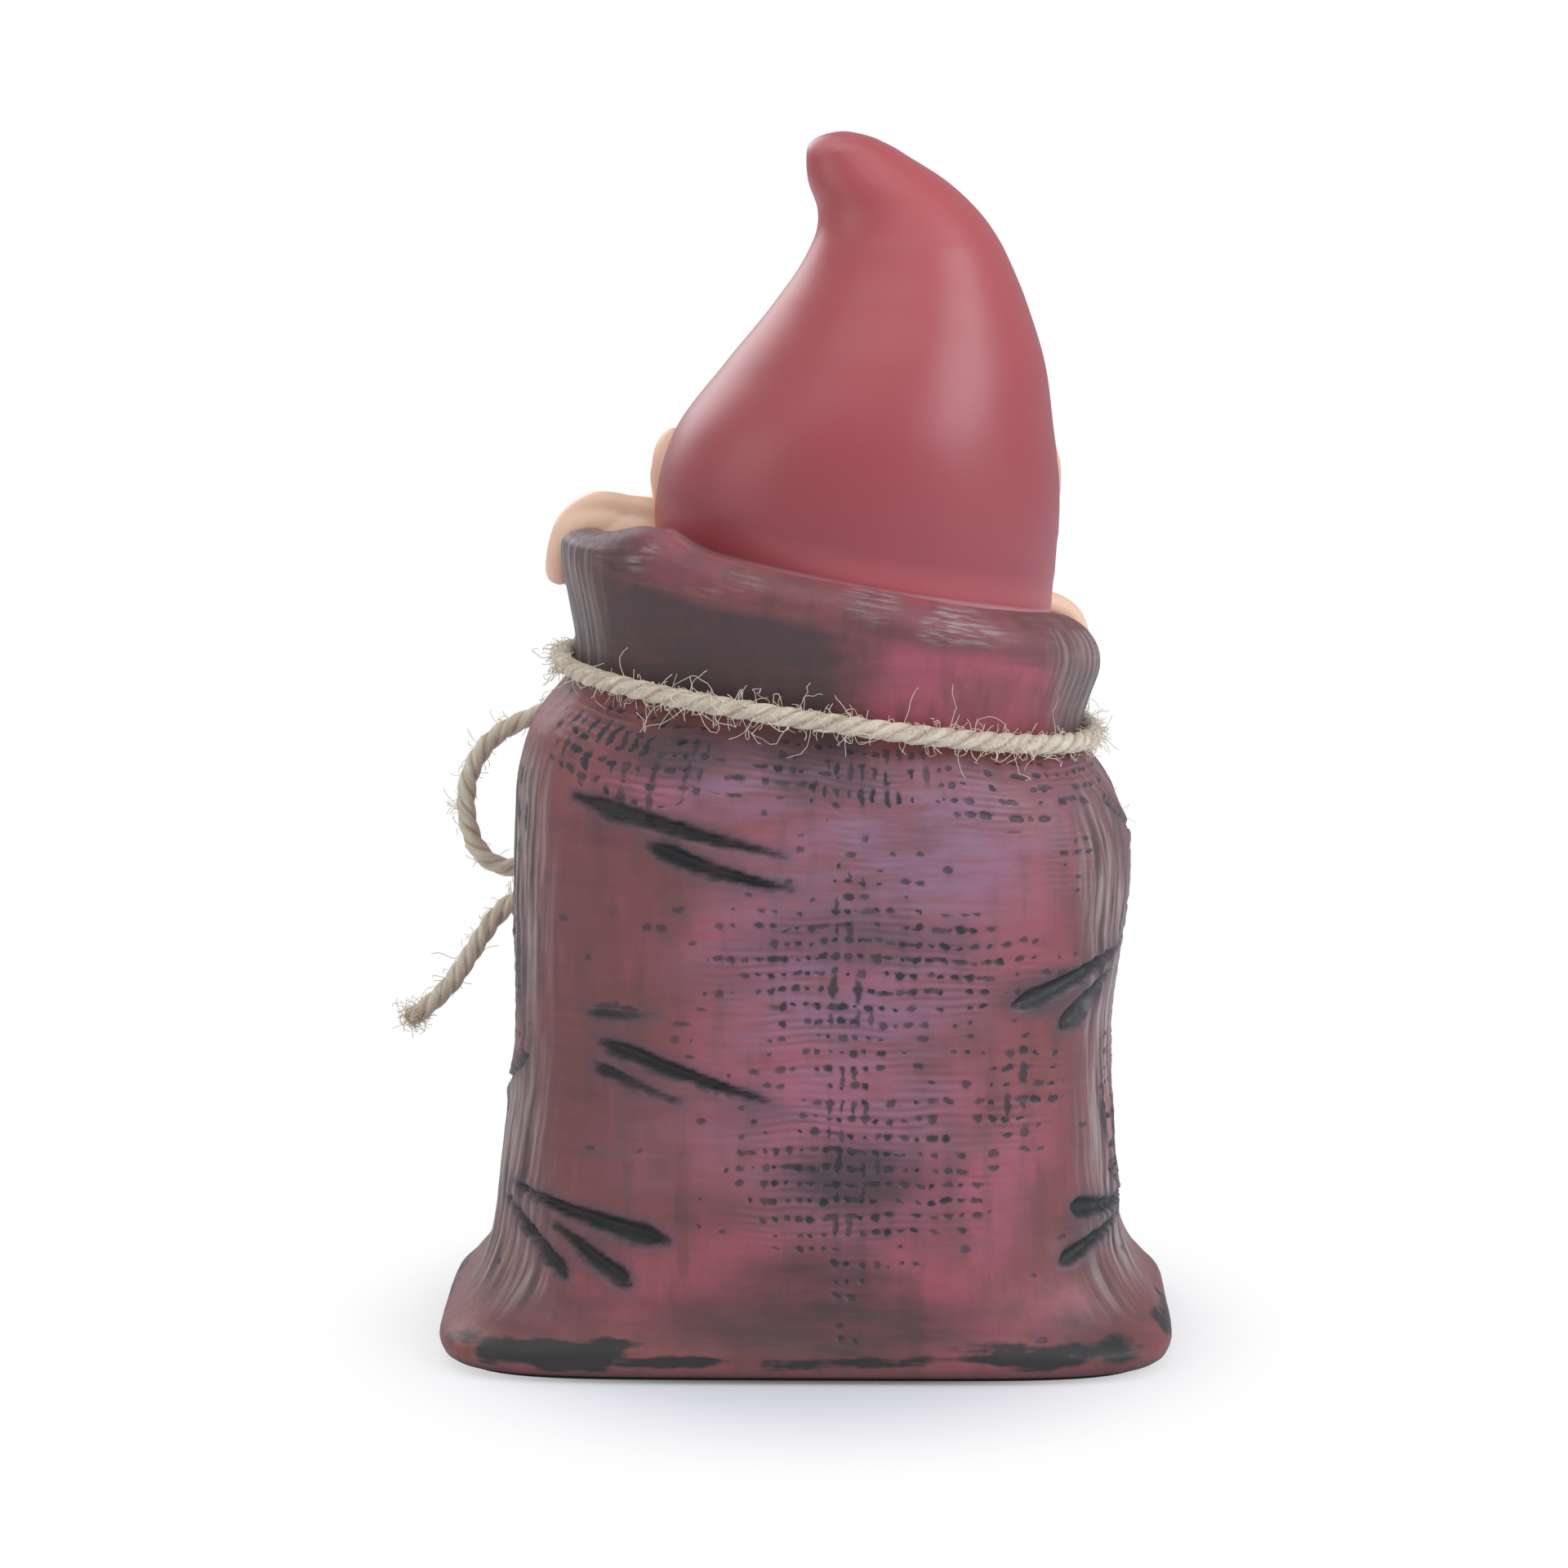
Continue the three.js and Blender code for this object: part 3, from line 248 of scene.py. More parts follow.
RIGHT_TAIL = [
    (-2.4, -6.4, TAIL_TOP), (-2.4, -6.5, TAIL_TOP - 3), (-4, -8.2, -16.5), (-6.4, -9.2, -22.9),
    (-9.2, -9.6, -28.9), (-12.2, -9.7, -34.9), (-15, -9.6, -40.9), (-17.4, -9.3, -46.9),
    (-19.2, -8.9, -52.9), (-20.2, -8.5, -58.9), (-20.4, -8.1, -64.7), (-19.8, -7.9, -70.3),
    (-18.4, -7.8, -75.7), (-16.4, -7.9, -80.9), (-14, -8, -85.9),
]

# Hat as shares: rise, centre, width, depth
HAT_ROWS = [
    (0, 0, 0.94, 0.95), (0.1, 0, 0.975, 0.98), (0.25, -0.01, 1, 1), (0.395, -0.045, 0.925, 0.96),
    (0.53, -0.145, 0.78, 0.81), (0.667, -0.225, 0.597, 0.61), (0.768, -0.247, 0.468, 0.465),
    (0.834, -0.21, 0.396, 0.37), (0.9, -0.1, 0.337, 0.29), (0.967, 0.027, 0.215, 0.185),
    (0.988, 0.055, 0.135, 0.12), (1, 0.067, 0.03, 0.03),
]
HAT_HALF = (40.4, 37.5)


def linear(code):
    """Linear colour of an sRGB hex code."""
    parts = [int(code[i : i + 2], 16) / 255 for i in (1, 3, 5)]
    return tuple(c / 12.92 if c <= 0.04045 else ((c + 0.055) / 1.055) ** 2.4 for c in parts)


def add(tree, kind, inputs=None, **settings):
    """Adds a node with its settings, and feeds its inputs from nodes, sockets or values."""
    made = tree.nodes.new(kind)
    for key, value in settings.items():
        setattr(made, key, value)
    for key, value in (inputs or {}).items():
        if isinstance(key, int):
            socket = made.inputs[key]
        else:
            socket = next(s for s in made.inputs if s.name == key and s.enabled)
        if isinstance(value, bpy.types.Node):
            value = next(s for s in value.outputs if s.enabled)
        if isinstance(value, bpy.types.NodeSocket):
            tree.links.new(value, socket)
        else:
            socket.default_value = value
    return made


class Wires:
    """Short names for the nodes that the trees here are mostly made of."""

    def __init__(self, tree):
        self.tree = tree

    def math(self, operation, *values):
        return add(self.tree, "ShaderNodeMath", dict(enumerate(values)), operation=operation)

    def times(self, a, b):
        return self.math("MULTIPLY", a, b)

    def plus(self, a, b):
        return self.math("ADD", a, b)

    def most(self, a, b):
        return self.math("MAXIMUM", a, b)

    def fac(self, value, low, high, to_low=0.0, to_high=1.0, kind="LINEAR"):
        """A value's range turned to another one, and kept in it."""
        return add(self.tree, "ShaderNodeMapRange", {
            "Value": value, "From Min": low, "From Max": high, "To Min": to_low, "To Max": to_high,
        }, interpolation_type=kind)

    def mixed(self, factor, a, b):
        """Mix of two colours, each a node or a plain colour."""
        a, b = (x if isinstance(x, bpy.types.Node) else (*x[:3], 1.0) for x in (a, b))
        return add(self.tree, "ShaderNodeMix", {"Factor": factor, "A": a, "B": b}, data_type="RGBA")

    def grain(self, scale, detail=2.0, roughness=0.5, place=None):
        """Noise with so many repeats per metre each way, in object coordinates or on a given place."""
        place = place or add(self.tree, "ShaderNodeTexCoord").outputs["Object"]
        spot = add(self.tree, "ShaderNodeMapping", {"Vector": place, "Scale": scale})
        return add(self.tree, "ShaderNodeTexNoise", {
            "Vector": spot, "Scale": 1.0, "Detail": detail, "Roughness": roughness})

    def stray(self, grain, reach):
        """Noise turned to values about zero, up to a reach either way."""
        return self.fac(grain, 0.3, 0.7, -reach, reach)

    def read(self, key):
        """A value that is stored at the mesh's points."""
        if self.tree.type == "GEOMETRY":
            named = add(self.tree, "GeometryNodeInputNamedAttribute", {"Name": key}, data_type="FLOAT")
            return named.outputs[0]
        return add(self.tree, "ShaderNodeAttribute", attribute_name=key).outputs["Fac"]


def finish_material(name, constants):
    """A new material, its short names and its one shader, with its constants set."""
    material = bpy.data.materials.new(name)
    material.use_nodes = True
    tree = material.node_tree
    tree.nodes.clear()
    shader = add(tree, "ShaderNodeBsdfPrincipled", constants)
    add(tree, "ShaderNodeOutputMaterial", {"Surface": shader})
    return material, Wires(tree), shader


def coat(wires, shader, paint, height=None, distance=0.0, strength=0.0):
    """Gives the shader its colour, and its normal the relief of a height."""
    wires.tree.links.new(paint.outputs[2], shader.inputs["Base Color"])
    if height:
        relief = add(wires.tree, "ShaderNodeBump", {
            "Height": height, "Distance": distance, "Strength": strength})
        wires.tree.links.new(relief.outputs[0], shader.inputs["Normal"])


def geometry_tree(name, inputs):
    """A geometry node group with named inputs: its short names and what it is given."""
    tree = bpy.data.node_groups.new(name, "GeometryNodeTree")
    tree.interface.new_socket("Geometry", in_out="OUTPUT", socket_type="NodeSocketGeometry")
    for key, kind in {"Geometry": "Geometry", **inputs, "Material": "Material"}.items():
        tree.interface.new_socket(key, in_out="INPUT", socket_type=f"NodeSocket{kind}")
    return Wires(tree), add(tree, "NodeGroupInput").outputs


def end_tree(tree, geometry, material):
    """Ends a node group in real geometry with its material."""
    real = add(tree, "GeometryNodeRealizeInstances", {"Geometry": geometry})
    painted = add(tree, "GeometryNodeSetMaterial", {"Geometry": real, "Material": material})
    add(tree, "NodeGroupOutput", {"Geometry": painted})
    return tree


def through(host, tree, values):
    """Host turned to a plain mesh through a node group, whose inputs are set by name."""
    grow = host.modifiers.new(tree.name, "NODES")
    grow.node_group = tree
    for item in tree.interface.items_tree:
        if item.in_out == "INPUT" and item.name in values:
            grow[item.identifier] = values[item.name]
    return plain(host)


# ---- shapes ----


def unit(values):
    """Values kept between 0 and 1."""
    return np.clip(values, 0, 1)


def norms(rows):
    """Length of each row."""
    return np.linalg.norm(rows, axis=1)


def columns_round(count):
    """Angles of so many columns round a ring."""
    return np.linspace(0, math.tau, count, endpoint=False)


def link(made):
    """Puts a new object in the scene."""
    bpy.context.scene.collection.objects.link(made)
    return made


def smooth_rows(rows, at):
    """Values at fractional places of a list of rows, on a smooth curve that runs out straight at its ends."""
    rows = np.asarray(rows, float)
    low = np.clip(np.floor(at).astype(int), 0, len(rows) - 2)
    p = (np.asarray(at, float) - low)[:, None]
    rows = np.vstack([2 * rows[0] - rows[1], rows, 2 * rows[-1] - rows[-2]])
    before, a, b, after = (rows[low + i] for i in range(4))
    bend = 2 * before - 5 * a + 4 * b - after
    return 0.5 * (2 * a + (b - before) * p + bend * p**2 + (3 * (a - b) - before + after) * p**3)


def along(points, step, closed=False):
    """Points a step apart on a smooth curve through a route."""
    points = np.asarray(points, float)
    if closed:
        points = np.vstack([points[-1:], points, points[:2]])
    else:
        points = np.vstack([2 * points[0] - points[1], points, 2 * points[-1] - points[-2]])
    fine = smooth_rows(points, np.linspace(1, len(points) - 2, 40 * len(points)))
    run = np.concatenate([[0], np.cumsum(norms(np.diff(fine, axis=0)))])
    count = max(4, round(run[-1] / step))
    stops = np.linspace(0, run[-1], count + 1)
    return np.stack([np.interp(stops, run, fine[:, i]) for i in range(3)], 1), run[-1]


def superellipse(half, power, angles):
    """Points of a superellipse at the angles, as x and y."""
    across = np.abs(np.cos(angles) / half[0]) ** power
    along_y = np.abs(np.sin(angles) / half[1]) ** power
    reach = (across + along_y) ** (-1 / power)
    return reach * np.cos(angles), reach * np.sin(angles)


def sack_ring(level, angles):
    """One ring of the sack from its level."""
    z, half_width, half_depth, power, shift, slope, nod, saddle = level
    fx, fy = superellipse((half_width, half_depth), power, angles)
    x = fx + shift
    return np.stack([x, fy, z + slope * x + nod * fy + saddle * (fx / half_width) ** 2], 1)


def crest_wave(points, level_at):
    """The rim's crest swells up against the hat beside the left hand, and dips at its corner."""
    x, y, _ = points.T
    lift = 2.8 * np.exp(-(((x - 29) / 7) ** 2)) * unit((y - 4) / 12)
    dip = 1.9 * np.exp(-(((x - 44) / 8) ** 2)) * unit((y + 22) / 20)
    return (lift - dip) * unit((level_at - NECK - 0.9) * 0.8)


def piece(name, verts, faces, uv=None, fields=None):
    """Mesh object at the origin from points in millimetres, with a UV map in metres and point attributes."""
    mesh = bpy.data.meshes.new(name)
    mesh.from_pydata((np.asarray(verts) * MM).tolist(), [], faces)
    if uv is not None:
        layer = mesh.uv_layers.new(name="cloth")
        layer.data.foreach_set("uv", np.asarray(uv, np.float32).ravel() * MM)
    for key, values in (fields or {}).items():
        store(mesh, key, values)
    mesh.shade_smooth()
    mesh.update()
    return link(bpy.data.objects.new(name, mesh))


def plain(host):
    """Host with its modifiers applied, as a plain mesh in a new object."""
    bpy.context.view_layer.update()
    evaluated = host.evaluated_get(bpy.context.evaluated_depsgraph_get())
    mesh = bpy.data.meshes.new_from_object(evaluated)
    name = host.name
    bpy.data.objects.remove(host)
    made = bpy.data.objects.new(name, mesh)
    mesh.name = name
    mesh.shade_smooth()
    return link(made)


def settle(made, material, slot, *nodes):
    """Gives a piece its material, lets it ride on the one body and stand for its nodes; its slot is not used.
    """
    made.data.materials.clear()
    made.data.materials.append(material)
    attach(made, "root")
    if nodes:
        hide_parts(*nodes)
    return made


def read_all(items, key, width, kind=np.float32):
    """One property of all the items of a mesh, as rows of a width."""
    values = np.empty(len(items) * width, kind)
    items.foreach_get(key, values)
    return values.reshape(-1, width)


def in_mm(made):
    """A piece's points in millimetres."""
    return mesh_points(made.data) / MM


def mesh_points(mesh):
    return read_all(mesh.vertices, "co", 3).astype(float)


def mesh_normals(mesh):
    return read_all(mesh.vertex_normals, "vector", 3).astype(float)


def move_points(mesh, points):
    """Moves the mesh's points to places in millimetres."""
    mesh.vertices.foreach_set("co", (points * MM).astype(np.float32).ravel())
    mesh.update()


def store(mesh, key, values):
    """Stores a value at each point of a mesh."""
    attribute = mesh.attributes.get(key) or mesh.attributes.new(key, "FLOAT", "POINT")
    attribute.data.foreach_set("value", np.asarray(values, np.float32))


def store_hollows(mesh, rounds=3):
    """Stores how hollow the surface is, from -1 on edges to 1 in creases, evened out some rounds."""
    co, normals = mesh_points(mesh), mesh_normals(mesh)
    a, b = read_all(mesh.edges, "vertices", 2, np.int32).T
    reach = co[b] - co[a]
    size = norms(reach) + 1e-9
    up_a = np.einsum("ij,ij->i", reach, normals[a]) / size
    up_b = -np.einsum("ij,ij->i", reach, normals[b]) / size
    count = np.bincount(a, minlength=len(co)) + np.bincount(b, minlength=len(co))
    count = np.maximum(count, 1)
    total = np.bincount(a, up_a, len(co)) + np.bincount(b, up_b, len(co))
    values = np.clip(total / count * 6, -1, 1)
    for _ in range(rounds):
        total = np.bincount(a, values[b], len(co)) + np.bincount(b, values[a], len(co))
        values = 0.5 * values + 0.5 * total / count
    store(mesh, "hollow", values)


def darken(mesh, values):
    """Deepens the stored hollows to at least these values."""
    hollow = read_all(mesh.attributes["hollow"].data, "value", 1)[:, 0]
    store(mesh, "hollow", np.maximum(hollow, values))


def glow(points, center, strength, reach):
    """A soft round spot of a strength, as values at the points."""
    return strength * np.exp(-(norms(points - np.array(center)) / reach) ** 2)


def bump_field(points, size, seed, octaves=3):
    """Fractal noise at each point, for patterns of a size in millimetres."""
    shift = Vector((seed * 7.3, seed * 3.1, seed * 5.7))
    return np.array([noise.fractal(Vector(p) / size + shift, 1.0, 2.0, octaves) for p in points])


def ball(center, size, turn=None, rings=24):
    """Closed ellipsoid: its points and faces."""
    center, half = np.asarray(center, float), np.asarray(size, float) / 2
    count = rings * 2
    verts = [(0, 0, -1)]
    for i in range(1, rings):
        polar = math.pi * i / rings
        for j in range(count):
            a = math.tau * j / count
            verts.append((math.sin(polar) * math.cos(a), math.sin(polar) * math.sin(a), -math.cos(polar)))
    verts.append((0, 0, 1))
    faces = []
    for j in range(count):
        k = (j + 1) % count
        faces.append((0, 1 + k, 1 + j))
        for i in range(rings - 2):
            low, high = 1 + i * count, 1 + (i + 1) * count
            faces.append((low + j, low + k, high + k, high + j))
        faces.append((len(verts) - 1, 1 + (rings - 2) * count + j, 1 + (rings - 2) * count + k))
    verts = np.array(verts) * half
    if turn is not None:
        verts = verts @ np.asarray(turn).T
    return verts + center, faces


def about(axis, angle):
    """Turn about x, y or z."""
    c, s = math.cos(angle), math.sin(angle)
    return {
        "x": np.array([(1, 0, 0), (0, c, -s), (0, s, c)]),
        "y": np.array([(c, 0, s), (0, 1, 0), (-s, 0, c)]),
        "z": np.array([(c, -s, 0), (s, c, 0), (0, 0, 1)]),
    }[axis]


def frames_along(points, closed):
    """Tangent and two cross directions at each point, turning as little as they can."""
    if closed:
        tangent = np.roll(points, -1, 0) - np.roll(points, 1, 0)
    else:
        tangent = np.gradient(points, axis=0)
    tangent /= norms(tangent)[:, None]
    side = np.cross(tangent[0], (0, 0, 1.0))
    if np.linalg.norm(side) < 0.1:
        side = np.cross(tangent[0], (1.0, 0, 0))
    sides = []
    for t in tangent:
        side = side - t * (side @ t)
        side = side / np.linalg.norm(side)
        sides.append(side)
    sides = np.array(sides)
    return tangent, sides, np.cross(tangent, sides)


def stack_faces(rings, columns, closed):
    """Quads over a stack of rings, and fans over its two ends where it is open."""
    faces = []
    for i in range(rings if closed else rings - 1):
        low, high = i * columns, ((i + 1) % rings) * columns
        for j in range(columns):
            k = (j + 1) % columns
            faces.append((low + j, low + k, high + k, high + j))
    if not closed:
        faces.append(tuple(range(columns - 1, -1, -1)))
        faces.append(tuple((rings - 1) * columns + j for j in range(columns)))
    return faces


def from_ends(count, step):
    """How far each point of a run is from its nearer end."""
    return np.minimum(np.arange(count), np.arange(count)[::-1]) * step


def rounding(share, least):
    """Share of the radius that is left so near a round end, as a share of that radius."""
    return np.sqrt(np.clip(1 - (1 - unit(share)) ** 2, least, 1))


def limb(route, radii, step=0.8, columns=14):
    """Closed round limb along a route, with a radius at each of its points."""
    points, _ = along(route, step)
    share = np.linspace(0, 1, len(points))
    radius = np.interp(share, np.linspace(0, 1, len(radii)), radii)
    radius = radius * rounding(from_ends(len(points), step) / np.maximum(radius, 0.1), 0.02)
    _, side, up = frames_along(points, False)
    verts = []
    for i, center in enumerate(points):
        for j in range(columns):
            a = math.tau * j / columns
            verts.append(center + radius[i] * (side[i] * math.cos(a) + up[i] * math.sin(a)))
    verts = np.array(verts)
    return verts, outward(verts, stack_faces(len(points), columns, False))


def outward(verts, faces):
    """Faces turned so that a closed form's normals point out."""
    volume = 0.0
    for f in faces:
        a = verts[f[0]]
        for i in range(1, len(f) - 1):
            volume += a @ np.cross(verts[f[i]], verts[f[i + 1]])
    return faces if volume > 0 else [tuple(reversed(f)) for f in faces]


def stacked(rings):
    """Closed form over a stack of rings, its faces turned outward."""
    verts = np.vstack(rings)
    return verts, outward(verts, stack_faces(len(rings), len(rings[0]), False))


def together(forms):
    """Several closed forms as one list of points and faces."""
    verts, faces, start = [], [], 0
    for form_verts, form_faces in forms:
        verts.append(form_verts)
        faces += [tuple(i + start for i in f) for f in form_faces]
        start += len(form_verts)
    return np.vstack(verts), faces


def skinned(host, voxel):
    """Adds one even skin of voxels to a host."""
    skin = host.modifiers.new("skin", "REMESH")
    skin.mode, skin.voxel_size = "VOXEL", voxel * MM


def cast(name, forms, cutters=(), voxel=0.7, rounds=6, before=1):
    """One cast body: forms joined into a single even skin, cut, and worn smooth."""
    host = piece(name, *together(forms))
    skinned(host, voxel)
    if before:
        host = plain(host)
    for i, cutter in enumerate(cutters):
        tool = piece(f"{name}_cutter_{i}", *cutter)
        cut = host.modifiers.new("cut", "BOOLEAN")
        cut.operation, cut.solver, cut.object = "DIFFERENCE", "EXACT", tool
        host = plain(host)
        bpy.data.objects.remove(tool)
        if not host.data.polygons:
            raise RuntimeError(f"nothing of {name} is left after cut {i}")
    if cutters:
        skinned(host, voxel)
    wear = host.modifiers.new("wear", "SMOOTH")
    wear.factor, wear.iterations = 0.5, rounds
    return drop_crumbs(plain(host))


CRUMB_SHARE = 0.1


def drop_crumbs(made):
    """Deletes the loose bits that a cut leaves beside the body."""
    work = bmesh.new()
    work.from_mesh(made.data)
    left, parts = set(work.verts), []
    while left:
        part, reached = set(), [left.pop()]
        while reached:
            vertex = reached.pop()
            part.add(vertex)
            for edge in vertex.link_edges:
                other = edge.other_vert(vertex)
                if other in left:
                    left.remove(other)
                    reached.append(other)
        parts.append(part)
    most = max(len(part) for part in parts)
    for part in parts:
        if len(part) < CRUMB_SHARE * most:
            bmesh.ops.delete(work, geom=list(part), context="VERTS")
    work.to_mesh(made.data)
    work.free()
    return made


# ---- sizes and colours that a user would change ----


def length(name, about_it, value, low, high):
    """A length in metres with its millimetre default and limits."""
    return FloatProperty(
        name=name, description=about_it, default=value * MM, min=low * MM, max=high * MM,
        subtype="DISTANCE", unit="LENGTH", precision=5,
    )


def colour(name, about_it, code):
    return FloatVectorProperty(
        name=name, description=about_it, default=linear(code), min=0, max=1, subtype="COLOR", size=3
    )


class NisseSizes(bpy.types.PropertyGroup):
    """Sizes of the figure's details."""

    twine: length("Twine", "Diameter of the jute twine", 4.0, 2.0, 5.0)
    twine_turn: length("Twine turn", "Length in which its three plies turn once", 13.0, 8.0, 60.0)
    weave_across: length("Weave across", "Distance between the moulded threads that stand", 3.1, 2.0, 6.0)
    weave_up: length("Weave up", "Distance between the moulded threads that lie", 3.15, 2.0, 6.0)
    weave_depth: length("Weave depth", "Depth of the moulded weave's holes", 0.35, 0.0, 1.0)
    groove_scale: FloatProperty(
        name="Fold depth", description="Depth of the pressed folds, 1 as found", default=1.0, min=0, max=2
    )
    fuzz_reach: length("Fuzz reach", "How far the longest loose fibres stand off", 11.0, 1.0, 14.0)
    fuzz_thickness: length("Fuzz thickness", "Thickness of a loose fibre, coarser than real", 0.15, 0.05, 0.4)
    fuzz_seed: IntProperty(name="Fuzz seed", description="Chooses how the fibres lie", default=7)
    eye: length("Eye", "Width of a painted eye", 9.0, 5.0, 12.0)


class NisseColours(bpy.types.PropertyGroup):
    """Colours of the figure's paints and fibres."""

    sack: colour("Sack", "Dull red acrylic on the sack", "#8A4F4F")
    sack_bright: colour("Sack bright", "Rosier red where the brush was fuller", "#B05868")
    sack_shade: colour("Sack shade", "Brown red where the glaze lies thick", "#66433F")
    # Also a painted sheen of the key light
    bloom: colour("Bloom", "Lilac that is dry-brushed over the middle", "#A27F9B")
    # Also painted shade under the twine, under the roll and inside the mouth
    wash: colour("Wash", "Dark purple-brown wash on rim and sides", "#43383B")
    groove: colour("Grooves", "Green-black that fills the folds and the weave", "#232A29")
    halo: colour("Halo", "Thin blue-grey wash round the weave's holes", "#55505C")
    # Also a painted reflection along the side edges
    streak: colour("Streaks", "Grey lilac rubbed on the sides", "#A29893")
    hat: colour("Hat", "Red satin paint of the hat", "#B85256")
    # Also a painted shade low on the hat
    hat_rose_and_shade: colour("Hat rose", "Rosier red low on the hat", "#A2454F")
    # Painted bounce light from the rim
    hat_rim_bounce: colour("Hat thin", "Thin rosy paint just above the rim", "#D2666E")
    undercoat: colour("Undercoat", "Pink that shows along the hat's edge", "#E9AAB0")
    skin: colour("Skin", "Painted skin", "#FFDABC")
    blush: colour("Blush", "Rosy cheeks, nose and knuckles", "#E39C87")
    # Also painted shade in the creases and under the hat
    skin_shade: colour("Skin shade", "Brown wash in the skin's creases", "#A8705A")
    beard: colour("Beard", "Off-white beard, moustache and brows", "#E6E0D6")
    beard_shade: colour("Beard shade", "Grey wash in the locks", "#9A9088")
    iris: colour("Iris", "Painted iris", "#4E6C86")
    twine_light: colour("Twine light", "Lightest jute fibres", "#FBF3E6")
    twine: colour("Twine", "Jute", "#E6D4B3")
    # Also painted shade in the hollows of the lay
    twine_dark_and_shade: colour("Twine dark", "Jute in the hollows of the lay", "#987F58")
    felt: colour("Felt", "Felt under the foot", "#3B3436")


def sizes():
    return bpy.context.scene.nisse_sizes


def colours():
    return bpy.context.scene.nisse_colours


# ---- stage ----

CAMERA_EYE = (-0.01515, 1.1372, 0.2802)
CAMERA_TARGET = (0.0047, 0.0, 0.1102)
CAMERA_LENS = 132.1
FLOOR_HALF = 4.0
FLOOR_Z = -0.1
# Name, place, width and height, watts, tint
LIGHTS = (
    ("key", (-1.18, 0.60, 0.94), (0.95, 1.0), 11.8, (0.90, 0.93, 1.0)),
    ("top", (0.1, 0.25, 1.35), (1.1, 1.1), 4.6, (1.0, 1.0, 1.0)),
    ("fill", (1.35, 0.55, 0.75), (0.9, 0.9), 3.0, (1.0, 0.98, 0.95)),
    ("front_window", (0.8, -1.2, 0.9), (1.0, 1.0), 7.0, (1.0, 0.99, 0.98)),
)
LIGHTS_TARGET = (0, 0, 0.12)
SHADOW_REACH = (0.045, 0.128)


def place_and_aim(data, place, target):
    """A lamp or camera at a place, looking at a target."""
    made = bpy.data.objects.new(data.name, data)
    made.location = place
    made.rotation_euler = (Vector(target) - Vector(place)).to_track_quat("-Z", "Y").to_euler()
    return link(made)


class NISSE_OT_stage(bpy.types.Operator):
    """Camera at the photograph's angle, pale floor and soft studio light."""

    bl_idname = "nisse.stage"
    bl_label = "Stage"

    def execute(self, context):
        scene = context.scene
        data = bpy.data.cameras.new("photo_view")
        data.lens, data.sensor_width = CAMERA_LENS, 36
        data.clip_start, data.clip_end = 0.05, 20
        scene.camera = place_and_aim(data, CAMERA_EYE, CAMERA_TARGET)
        scene.view_settings.view_transform = "Standard"
        for name, place, size, power, tint in LIGHTS:
            data = bpy.data.lights.new(name, "AREA")
            data.shape, data.size, data.size_y = "RECTANGLE", *size
            data.energy, data.color = power, tint
            place_and_aim(data, place, LIGHTS_TARGET)
        self.world(scene)
        self.floor()
        return {"FINISHED"}

    @staticmethod
    def world(scene):
        world = bpy.data.worlds.new("white_room")
        scene.world = world
        world.use_nodes = True
        tree = world.node_tree
        tree.nodes.clear()
        seen = add(tree, "ShaderNodeLightPath")
        room = add(tree, "ShaderNodeBackground", {"Color": (0.93, 0.95, 1.0, 1), "Strength": 0.42})
        white = add(tree, "ShaderNodeBackground", {"Color": (1, 1, 1, 1), "Strength": 1.0})
        mixed = add(tree, "ShaderNodeMixShader", {0: seen.outputs["Is Camera Ray"], 1: room, 2: white})
        add(tree, "ShaderNodeOutputWorld", {"Surface": mixed})

    @staticmethod
    def floor():
        half = FLOOR_HALF / MM
        corners = [(x * half, y * half, FLOOR_Z) for x, y in ((-1, -1), (1, -1), (1, 1), (-1, 1))]
        floor = piece("floor", corners, [(0, 1, 2, 3)])
        material = bpy.data.materials.new("white_paper")
        material.use_nodes = True
        tree = material.node_tree
        tree.nodes.clear()
        paper = add(tree, "ShaderNodeBsdfDiffuse", {"Color": (0.86, 0.87, 0.9, 1)})
        # The camera sees the paper near the figure painted grey as a shadow, with the figure's real shadow on
        # it, and it goes over into a white room
        lift = add(tree, "ShaderNodeEmission", {"Color": (0.95, 0.96, 1, 1), "Strength": 0.1})
        grey = add(tree, "ShaderNodeBsdfDiffuse", {"Color": (0.68, 0.69, 0.74, 1)})
        shaded = add(tree, "ShaderNodeAddShader", {0: grey, 1: lift})
        white = add(tree, "ShaderNodeEmission", {"Color": (1, 1, 1, 1), "Strength": 1.0})
        place = add(tree, "ShaderNodeTexCoord").outputs["Object"]
        squeezed = add(tree, "ShaderNodeVectorMath", {0: place, 1: (1.25, 1.0, 0.0)}, operation="MULTIPLY")
        far = add(tree, "ShaderNodeVectorMath", {0: squeezed}, operation="LENGTH").outputs["Value"]
        gone = Wires(tree).fac(far, *SHADOW_REACH, kind="SMOOTHSTEP")
        view = add(tree, "ShaderNodeMixShader", {0: gone, 1: shaded, 2: white})
        seen = add(tree, "ShaderNodeLightPath").outputs["Is Camera Ray"]
        mixed = add(tree, "ShaderNodeMixShader", {0: seen, 1: paper, 2: view})
        add(tree, "ShaderNodeOutputMaterial", {"Surface": mixed})
        floor.data.materials.append(material)


# ---- twine ----

PLY_SPOT, PLY_HALF, PLY_LOW = 0.32, 0.68, 0.78
TWINE_COLUMNS = 24
TWINE_WOBBLE, TWINE_MOST = 0.05, 1.04
# Loose fibres: how far each kind of arc turns, lean, sway in metres, the tip's share of the thickness,
# and the shortest one's share of the reach
FIBRE_SWEEPS = (0.7, 1.5, 2.6, 3.9)
FIBRE_LEAN, FIBRE_TURN = 0.9, 6.283
FIBRE_SWAY = 0.011
FIBRE_TIP = 0.45
FIBRE_SHORTEST = 0.14
# Scale of the noise that bends them, and the step in it from one fibre to the next
FIBRE_CURL, FIBRE_STEP = 190.0, 400.0
